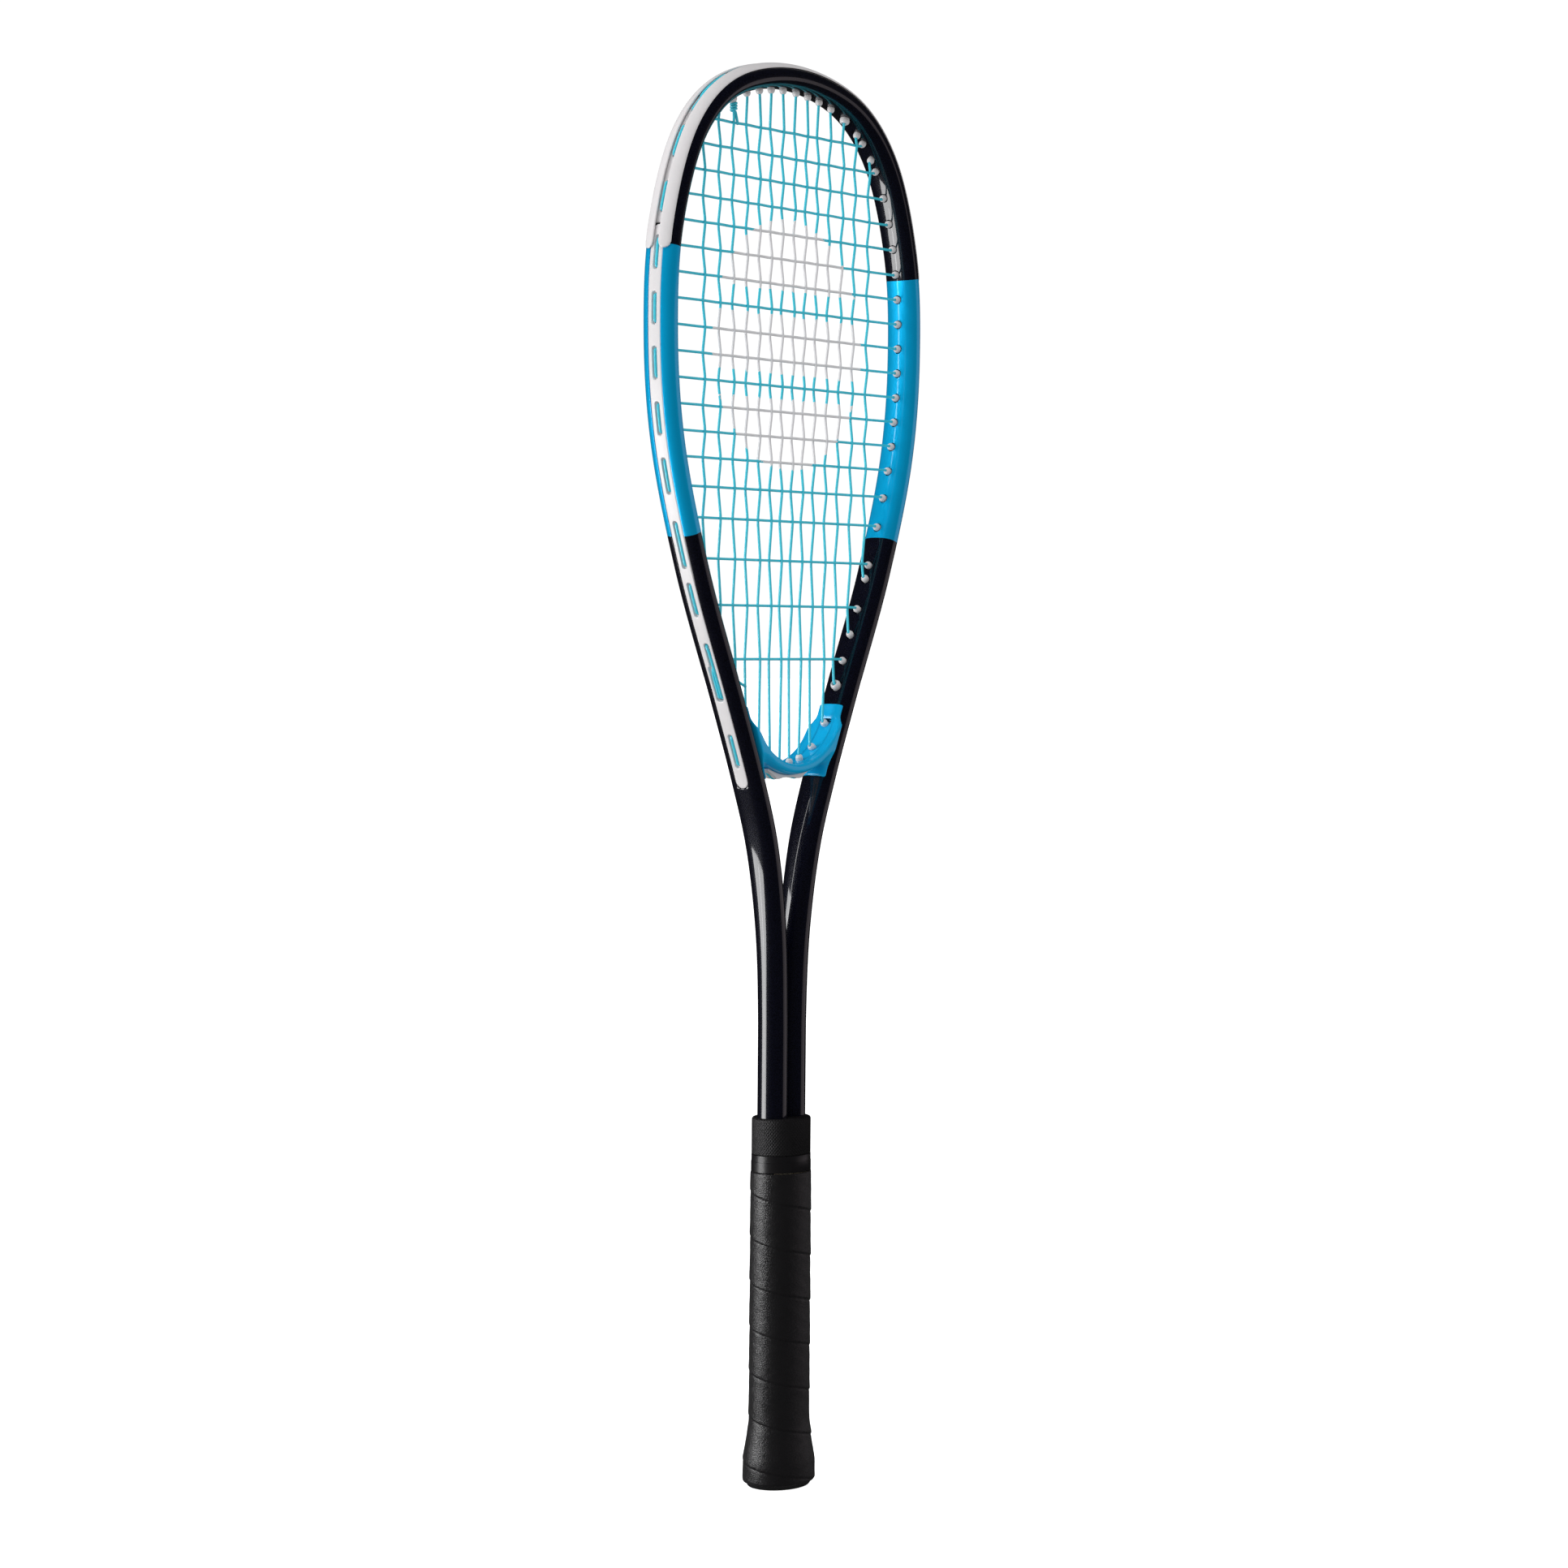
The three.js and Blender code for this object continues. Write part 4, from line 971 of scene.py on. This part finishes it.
def make_grip():
    angle = np.arange(HANDLE_SIDES)[None, :] * 2 * math.pi / HANDLE_SIDES
    z = np.arange(GRIP_Z[0], GRIP_Z[1] + 0.1, 0.4)[:, None]
    seam = GRIP_SEAM_TOP - GRIP_PITCH * (angle - GRIP_SEAM_ANGLE) / (2 * math.pi)
    above = np.mod(z - seam, GRIP_PITCH)
    edge = np.sqrt(1 - (1 - np.minimum(above / 0.9, 1)) ** 2)
    sunk = LAP_DIP * smoothstep(above, GRIP_PITCH - 1.6, GRIP_PITCH)
    lap = LAP_RISE * edge * (1 - above / GRIP_PITCH) ** 1.3 - sunk
    soft = 0.1 * np.sin(angle * 5 + z * 0.24) * np.sin(z * 0.61 + angle * 2)
    low, high = GRIP_Z
    ends = smoothstep(z, low, low + 1.5) * (1 - smoothstep(z, high - 1.5, high))
    roll = 1 - np.sqrt(1 - (1 - np.minimum((z - low) / 1.4, 1)) ** 2)
    outer = HANDLE_CORE + GRIP_THICKNESS + flare(z) + (lap + soft * 0.6) * ends - roll
    inner = HANDLE_CORE + flare(z) + 0 * angle
    inside = slice(None, None, -12)
    rings = np.concatenate([oval_rings(outer, z), oval_rings(inner[inside], z[inside])])
    count = len(rings)
    faces = grid_faces(count, HANDLE_SIDES, 0, True)
    grip = new_object("grip_wrap_finish", rings.reshape(-1, 3), faces)
    oval_uv(grip)
    return grip


def make_tape():
    outside = HANDLE_CORE + GRIP_THICKNESS - 0.15
    low, high = TAPE_Z
    step = outside - TAPE_STEP
    profile = [
        (outside - 0.12, low), (outside, low + 0.12), (outside, TAPE_END_Z), (step, TAPE_END_Z + 0.08),
        (step, high - 0.12), (step - 0.12, high), (HANDLE_CORE, high), (HANDLE_CORE, low),
    ]
    tape = turned_oval("finishing_tape_finish", profile)
    sharpen(tape, 40)
    return tape


def turned_oval(name, profile, closed=True):
    radius = np.array([r for r, _ in profile])[:, None] * np.ones(HANDLE_SIDES)
    z = np.array([z for _, z in profile])[:, None]
    rings = oval_rings(radius, z)
    if not closed:
        piece = sweep(name, rings)
    else:
        piece = new_object(name, rings.reshape(-1, 3), grid_faces(len(rings), HANDLE_SIDES, 0, True))
    oval_uv(piece)
    return piece


def rounded_corner(radius_at, z_at, size, steps=6):
    """Profile points round an outer top corner, from its side to its top."""
    turns = np.linspace(0, math.pi / 2, steps)
    return [(radius_at - size + size * math.cos(t), z_at - size + size * math.sin(t)) for t in turns]


def make_collar():
    outside = HANDLE_CORE + GRIP_THICKNESS - 0.4
    low, high = COLLAR_Z
    profile = [(outside - 0.3, low), (outside, low + 0.3), *rounded_corner(outside, high, 1.2)]
    collar = turned_oval("grip_collar_finish", profile, closed=False)
    radius = SHAFT_RADIUS + 0.05
    angle = np.arange(LEG_HOLE_SIDES) * 2 * math.pi / LEG_HOLE_SIDES
    for side in (-1, 1):
        ring = np.stack([LEG_X * side + radius * np.cos(angle), radius * np.sin(angle)], -1)
        levels = [np.full(LEG_HOLE_SIDES, z) for z in (low - 2, high + 2)]
        rings = np.stack([np.column_stack([ring, level]) for level in levels])
        boolean(collar, "DIFFERENCE", sweep("leg_hole", rings))
    sharpen(collar, 40)
    return collar


def make_cap():
    """The butt cap: a flared cup with a shallow oval recess in its end face."""
    profile = [(HANDLE_CORE + beyond, z) for beyond, z in CAP_PROFILE]
    cap = turned_oval("butt_cap_finish", profile, closed=False)
    sharpen(cap, 35)
    return cap


# ---- Materials ----


class Nodes:
    """Short ways to add nodes to a tree and join them."""

    def __init__(self, tree):
        self.tree = tree

    def add(self, kind, inputs=(), **settings):
        node = self.tree.nodes.new(kind)
        for key, value in settings.items():
            setattr(node, key, value)
        for key, value in dict(inputs).items():
            if isinstance(value, bpy.types.NodeSocket):
                self.tree.links.new(value, node.inputs[key])
            else:
                node.inputs[key].default_value = value
        return node

    def math(self, operation, a, b=0.0, clamp=False):
        node = self.add("ShaderNodeMath", {0: a, 1: b}, operation=operation, use_clamp=clamp)
        return node.outputs[0]

    def noise(self, where, scale, detail=3.0, roughness=0.5):
        inputs = {"Vector": where, "Scale": scale, "Detail": detail, "Roughness": roughness}
        return self.add("ShaderNodeTexNoise", inputs).outputs["Fac"]

    def mix(self, factor, a, b):
        node = self.add("ShaderNodeMix", data_type="RGBA")
        for socket, value in zip((node.inputs[0], node.inputs[6], node.inputs[7]), (factor, a, b)):
            if isinstance(value, bpy.types.NodeSocket):
                self.tree.links.new(value, socket)
            else:
                socket.default_value = value
        return node.outputs[2]

    def ranged(self, value, low, high):
        inputs = {"Value": value, "To Min": low, "To Max": high}
        return self.add("ShaderNodeMapRange", inputs).outputs[0]

    def link(self, value, shader, name):
        self.tree.links.new(value, shader.inputs[name])

    def place(self, uv=False):
        return self.add("ShaderNodeTexCoord").outputs["UV" if uv else "Object"]

    def bump(self, height, distance, strength=1.0, normal=None):
        inputs = {"Height": height, "Distance": distance, "Strength": strength}
        if normal is not None:
            inputs["Normal"] = normal
        return self.add("ShaderNodeBump", inputs).outputs[0]


def blank(name, **values):
    """A material with one Principled shader, whose constant values are set on its sockets."""
    made = bpy.data.materials.new(name)
    made.use_nodes = True
    shader = made.node_tree.nodes["Principled BSDF"]
    for key, value in values.items():
        shader.inputs[key.replace("_", " ")].default_value = value
    return made, Nodes(made.node_tree), shader


def rgba(colour):
    return (*colour, 1.0)


def speckled(nodes, shader, colour, where, scale, spread, rough, rough_spread):
    """Links a colour and roughness that vary with noise; returns the colour."""
    cloud = nodes.noise(where, scale, 4.0)
    dark = rgba([c * (1 - spread) for c in colour])
    light = rgba([min(1.0, c * (1 + spread)) for c in colour])
    tint = nodes.mix(cloud, dark, light)
    nodes.link(tint, shader, "Base Color")
    wear = nodes.noise(where, scale * 2.7, 3.0)
    roughness = nodes.ranged(wear, rough - rough_spread, rough + rough_spread)
    nodes.link(roughness, shader, "Roughness")
    return tint


NAVY = (0.0026, 0.0028, 0.0085)
BLUE = (0.0, 0.46, 0.86)
HANDLE_BLACK = (0.0085, 0.0078, 0.0092)


def blue_zone(nodes, where):
    """1 between the planes that cut both rails squarely at the blue zone's two heights."""
    split = nodes.add("ShaderNodeSeparateXYZ", {0: where})
    across_x = nodes.math("ABSOLUTE", split.outputs[0])
    inside = None
    for z, sense in zip(BLUE_ZONE_Z, (1, -1)):
        x, height, tx, tz = place(s_at_height(z))
        along = nodes.math("MULTIPLY", across_x, float(tx) * sense)
        rise = nodes.math("MULTIPLY", split.outputs[2], -float(tz) * sense)
        offset = float(-x * tx + height * -tz) * sense * MM
        past = nodes.math("SUBTRACT", nodes.math("ADD", along, rise), offset)
        step = nodes.math("ADD", nodes.math("MULTIPLY", past, 4000.0), 0.5, True)
        inside = step if inside is None else nodes.math("MULTIPLY", inside, step)
    return inside


def paint_material():
    made, nodes, shader = blank(
        "frame_paint_finish", Specular_IOR_Level=0.1, Coat_Weight=1.0, Coat_Roughness=0.06,
    )
    where = nodes.place()
    flakes = nodes.add("ShaderNodeTexVoronoi", {"Vector": where, "Scale": 2600.0})
    glint = nodes.add("ShaderNodeSeparateColor", {0: flakes.outputs["Color"]}).outputs[0]
    zone = blue_zone(nodes, where)
    cloud = nodes.noise(where, 60.0)
    navy = nodes.mix(glint, rgba([c * 0.6 for c in NAVY]), rgba([c * 1.6 for c in NAVY]))
    blue = nodes.mix(cloud, rgba([c * 0.95 for c in BLUE]), rgba([c * 1.05 for c in BLUE]))
    nodes.link(nodes.mix(zone, navy, blue), shader, "Base Color")
    nodes.link(nodes.ranged(zone, 0.1, 0.36), shader, "Metallic")
    nodes.link(nodes.ranged(nodes.noise(where, 900.0), 0.26, 0.44), shader, "Roughness")
    grain = nodes.bump(nodes.noise(where, 1500.0, 2.0), 0.00003, 0.35)
    nodes.link(grain, shader, "Normal")
    return made


def plain_plastic(name, colour, rough, scale=120.0, spread=0.03, peel=0.00002, **values):
    """A moulded plastic, with slight clouding and a very fine moulded surface."""
    made, nodes, shader = blank(name, **values)
    where = nodes.place()
    speckled(nodes, shader, colour, where, scale, spread, rough, 0.06)
    fine = nodes.bump(nodes.noise(where, 900.0, 2.0), peel, 0.6)
    nodes.link(fine, shader, "Normal")
    return made


STRING_BLUE = (0.055, 0.68, 0.85)
STENCIL_WHITE = (0.88, 0.88, 0.9)
STENCIL_Z = 551
STENCIL_SIZE = (61, 60)
STENCIL_GAPS = (-20, 20)
STENCIL_GAP_HALF = 6


def stencil(nodes, where):
    """1 on a plain disc with two level gaps, with edges where the ink didn't quite take."""
    ragged = nodes.math("MULTIPLY", nodes.math("SUBTRACT", nodes.noise(where, 700.0), 0.5), 0.003)
    split = nodes.add("ShaderNodeSeparateXYZ", {0: where})
    x = nodes.math("DIVIDE", nodes.math("ADD", split.outputs[0], ragged), STENCIL_SIZE[0] * MM)
    height = nodes.math("ADD", nodes.math("SUBTRACT", split.outputs[2], STENCIL_Z * MM), ragged)
    z = nodes.math("DIVIDE", height, STENCIL_SIZE[1] * MM)
    reach = nodes.math("ADD", nodes.math("MULTIPLY", x, x), nodes.math("MULTIPLY", z, z))
    inked = nodes.math("LESS_THAN", reach, 1.0)
    for gap in STENCIL_GAPS:
        away = nodes.math("ABSOLUTE", nodes.math("SUBTRACT", height, gap * MM))
        outside = nodes.math("GREATER_THAN", away, STENCIL_GAP_HALF * MM)
        inked = nodes.math("MULTIPLY", inked, outside)
    return inked


def string_material():
    made, nodes, shader = blank("string_finish", Coat_Weight=0.3, Coat_Roughness=0.15)
    where = nodes.place()
    blue = speckled(nodes, shader, STRING_BLUE, where, 90.0, 0.08, 0.36, 0.06)
    worn = rgba([c * 0.9 for c in STENCIL_WHITE])
    white = nodes.mix(nodes.noise(where, 300.0), worn, rgba(STENCIL_WHITE))
    nodes.link(nodes.mix(stencil(nodes, where), blue, white), shader, "Base Color")
    wrap = nodes.add("ShaderNodeSeparateXYZ", {0: nodes.place(uv=True)})
    turn = nodes.math("MULTIPLY", wrap.outputs[0], 6 * 2 * math.pi)
    along = nodes.math("MULTIPLY", wrap.outputs[1], 900.0 * 2)
    strands = nodes.math("SINE", nodes.math("ADD", turn, along))
    nodes.link(nodes.bump(strands, 0.00002, 0.5), shader, "Normal")
    return made


def leather_material():
    made, nodes, shader = blank(
        "grip_finish", Sheen_Weight=0.05, Sheen_Roughness=0.5, Specular_IOR_Level=0.6,
    )
    where = nodes.place()
    speckled(nodes, shader, HANDLE_BLACK, where, 150.0, 0.2, 0.4, 0.1)
    pattern = {"Vector": where, "Scale": 1100.0}
    cells = nodes.add("ShaderNodeTexVoronoi", pattern, feature="DISTANCE_TO_EDGE")
    grain = nodes.bump(nodes.math("MINIMUM", cells.outputs["Distance"], 0.25), 0.00035, 0.7)
    soft = nodes.bump(nodes.noise(where, 260.0, 3.0), 0.0003, 0.5, grain)
    nodes.link(soft, shader, "Normal")
    return made


def collar_material():
    """Rubber with a fine lattice moulded into it."""
    made, nodes, shader = blank("collar_finish", Specular_IOR_Level=0.4)
    where = nodes.place()
    speckled(nodes, shader, HANDLE_BLACK, where, 150.0, 0.15, 0.58, 0.08)
    wrap = nodes.add("ShaderNodeSeparateXYZ", {0: nodes.place(uv=True)})
    turn = nodes.math("MULTIPLY", wrap.outputs[0], 60 * 2 * math.pi)
    along = nodes.math("MULTIPLY", wrap.outputs[1], 2 * math.pi / 0.0018)
    one = nodes.math("SINE", nodes.math("ADD", turn, along))
    other = nodes.math("SINE", nodes.math("SUBTRACT", turn, along))
    lattice = nodes.math("MAXIMUM", one, other)
    nodes.link(nodes.bump(lattice, 0.00012, 0.8), shader, "Normal")
    return made


def foam_material():
    made, nodes, shader = blank("pallet_finish")
    where = nodes.place()
    speckled(nodes, shader, (0.58, 0.5, 0.34), where, 400.0, 0.1, 0.8, 0.08)
    pores = nodes.add("ShaderNodeTexVoronoi", {"Vector": where, "Scale": 1500.0})
    nodes.link(nodes.bump(pores.outputs["Distance"], 0.0002, 0.6), shader, "Normal")
    return made


def steel_material():
    made, nodes, shader = blank("staple_finish", Metallic=1.0)
    where = nodes.place()
    speckled(nodes, shader, (0.5, 0.5, 0.52), where, 500.0, 0.08, 0.32, 0.08)
    drawn = nodes.bump(nodes.noise(where, 3000.0, 2.0), 0.00003, 0.5)
    nodes.link(drawn, shader, "Normal")
    return made


paint = paint_material()
bridge_plastic = plain_plastic(
    "bridge_finish", (0.0, 0.42, 0.78), 0.24, peel=0.00003, Coat_Weight=0.25, Coat_Roughness=0.06,
    Specular_IOR_Level=0.3,
)
white_nylon = plain_plastic(
    "grommet_finish", (0.76, 0.74, 0.75), 0.42, Subsurface_Weight=0.12,
    Subsurface_Radius=(0.0012, 0.0010, 0.0010), Subsurface_Scale=1.0,
)
string_nylon = string_material()
leather = leather_material()
rubber = collar_material()
vinyl = plain_plastic("tape_finish", HANDLE_BLACK, 0.36, peel=0.00004)
black_plastic = plain_plastic("cap_finish", (0.015, 0.015, 0.016), 0.45, peel=0.00006)
foam = foam_material()
steel = steel_material()

# ---- The racket ----


def fit(piece, node, material):
    """Puts a piece in the place of a CAD node, with its material."""
    piece.data.materials.clear()
    piece.data.materials.append(material)
    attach(piece, "root")
    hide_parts(node)
    return piece


fit(make_frame_tube(), "frame_tube", paint)
fit(make_bridge(), "throat_bridge", bridge_plastic)
fit(make_bridge_strip(), "bridge_grommet_strip", white_nylon)
fit(make_bumper(), "head_bumper", white_nylon)
fit(make_side_strip("grommet_strip_left_finish", 1), "grommet_strip_left", white_nylon)
fit(make_side_strip("grommet_strip_right_finish", -1), "grommet_strip_right", white_nylon)
fit(make_string(), "string", string_nylon)
grip = fit(make_grip(), "grip_wrap", leather)
fit(make_tape(), "finishing_tape", vinyl)
fit(make_collar(), "grip_collar", rubber)
fit(make_cap(), "butt_cap", black_plastic)

for node, material in {
    "pallet_front": foam, "pallet_back": foam,
    "cap_staple_front": steel, "cap_staple_back": steel, "grip_staple": steel,
}.items():
    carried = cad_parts[node]
    carried.data.materials.clear()
    carried.data.materials.append(material)

# ---- Camera ----

CAMERA_TURN = math.radians(54)
CAMERA_DISTANCE = 1857.1
CAMERA_HEIGHT = 410.63
CAMERA_DROP = math.radians(2.17)
CAMERA_ROLL = math.radians(0.46)
LENS = 88.44


def add_camera():
    sin, cos = math.sin(CAMERA_TURN), math.cos(CAMERA_TURN)
    ahead = Vector((sin * math.cos(CAMERA_DROP), cos * math.cos(CAMERA_DROP), -math.sin(CAMERA_DROP)))
    right = Vector((cos, -sin, 0))
    up = right.cross(ahead)
    camera_x = right * math.cos(CAMERA_ROLL) + up * math.sin(CAMERA_ROLL)
    camera_y = up * math.cos(CAMERA_ROLL) - right * math.sin(CAMERA_ROLL)
    data = bpy.data.cameras.new("camera")
    data.lens = LENS
    data.sensor_width = 36
    data.clip_start = 0.05
    camera = bpy.data.objects.new("camera", data)
    position = Vector((-CAMERA_DISTANCE * sin, -CAMERA_DISTANCE * cos, CAMERA_HEIGHT)) * MM
    turn = Matrix([camera_x, camera_y, -ahead]).transposed()
    camera.matrix_world = Matrix.Translation(position) @ turn.to_4x4()
    bpy.context.scene.collection.objects.link(camera)
    bpy.context.scene.camera = camera


add_camera()

# ---- Light and floor ----


AIM_HEIGHT = 0.4
KEY_SIDE = (-0.83, 0.56)
WORLD_SEEN = 1.05
WORLD_FILL = 0.52
WORLD_SHINE = 0.015


def add_panel(name, direction, distance, height, width, tall, power, colour=(1, 1, 1)):
    """A rectangular light facing the racket; sizes, distance and height are in metres."""
    data = bpy.data.lights.new(name, "AREA")
    data.shape = "RECTANGLE"
    data.size = width
    data.size_y = tall
    data.energy = power
    data.color = colour
    panel = bpy.data.objects.new(name, data)
    level = Vector((*direction, 0)).normalized()
    spot = level * distance + Vector((0, 0, height))
    facing = (spot - Vector((0, 0, AIM_HEIGHT))).to_track_quat("Z", "Y")
    panel.matrix_world = Matrix.Translation(spot) @ facing.to_matrix().to_4x4()
    bpy.context.scene.collection.objects.link(panel)
    return panel


def add_world():
    """White to the camera, an even fill on matt surfaces and nearly dark in reflections."""
    world = bpy.data.worlds.new("studio")
    world.use_nodes = True
    bpy.context.scene.world = world
    nodes = Nodes(world.node_tree)
    kind = nodes.add("ShaderNodeLightPath")
    seen = nodes.math("MULTIPLY", kind.outputs["Is Camera Ray"], WORLD_SEEN)
    fill = nodes.math("MULTIPLY", kind.outputs["Is Diffuse Ray"], WORLD_FILL)
    shine = nodes.math("MULTIPLY", kind.outputs["Is Glossy Ray"], WORLD_SHINE)
    total = nodes.math("ADD", nodes.math("ADD", seen, fill), shine)
    background = world.node_tree.nodes["Background"]
    world.node_tree.links.new(total, background.inputs["Strength"])
    background.inputs["Color"].default_value = (1, 1, 1, 1)


def add_floor():
    corners = np.array([(-1, -1, 0), (1, -1, 0), (1, 1, 0), (-1, 1, 0)]) * 30000.0
    floor = new_object("floor", corners, np.array([[0, 1, 2, 3]]))
    made, nodes, shader = blank(
        "floor_finish", Specular_IOR_Level=0.1, Emission_Color=rgba((1, 1, 1)), Emission_Strength=0.95,
    )
    speckled(nodes, shader, (0.95, 0.95, 0.95), nodes.place(), 3.0, 0.005, 0.9, 0.02)
    floor.data.materials.append(made)
    floor.visible_glossy = False
    floor.visible_diffuse = False


add_world()
add_floor()
add_panel("key", KEY_SIDE, 1.6, 0.5, 0.05, 1.8, 2.2).visible_diffuse = False
add_panel("shaft_key", KEY_SIDE, 0.6, 0.25, 0.36, 0.4, 4.0).visible_diffuse = False
add_panel("left_fill", (-0.78, 0.62), 2.0, 0.7, 1.2, 1.2, 24).visible_glossy = False
add_panel("top", (-0.81, -0.59), 0.8, 2.3, 1.2, 1.2, 10).visible_glossy = False
add_panel("front", (0.81, -0.59), 2.4, 0.3, 1.8, 1.0, 2.5, (1, 0.88, 0.93))
add_panel("right_strip", (0.95, 0.3), 2.0, 0.5, 0.3, 1.6, 0.07)
bpy.context.scene.view_settings.view_transform = "Standard"
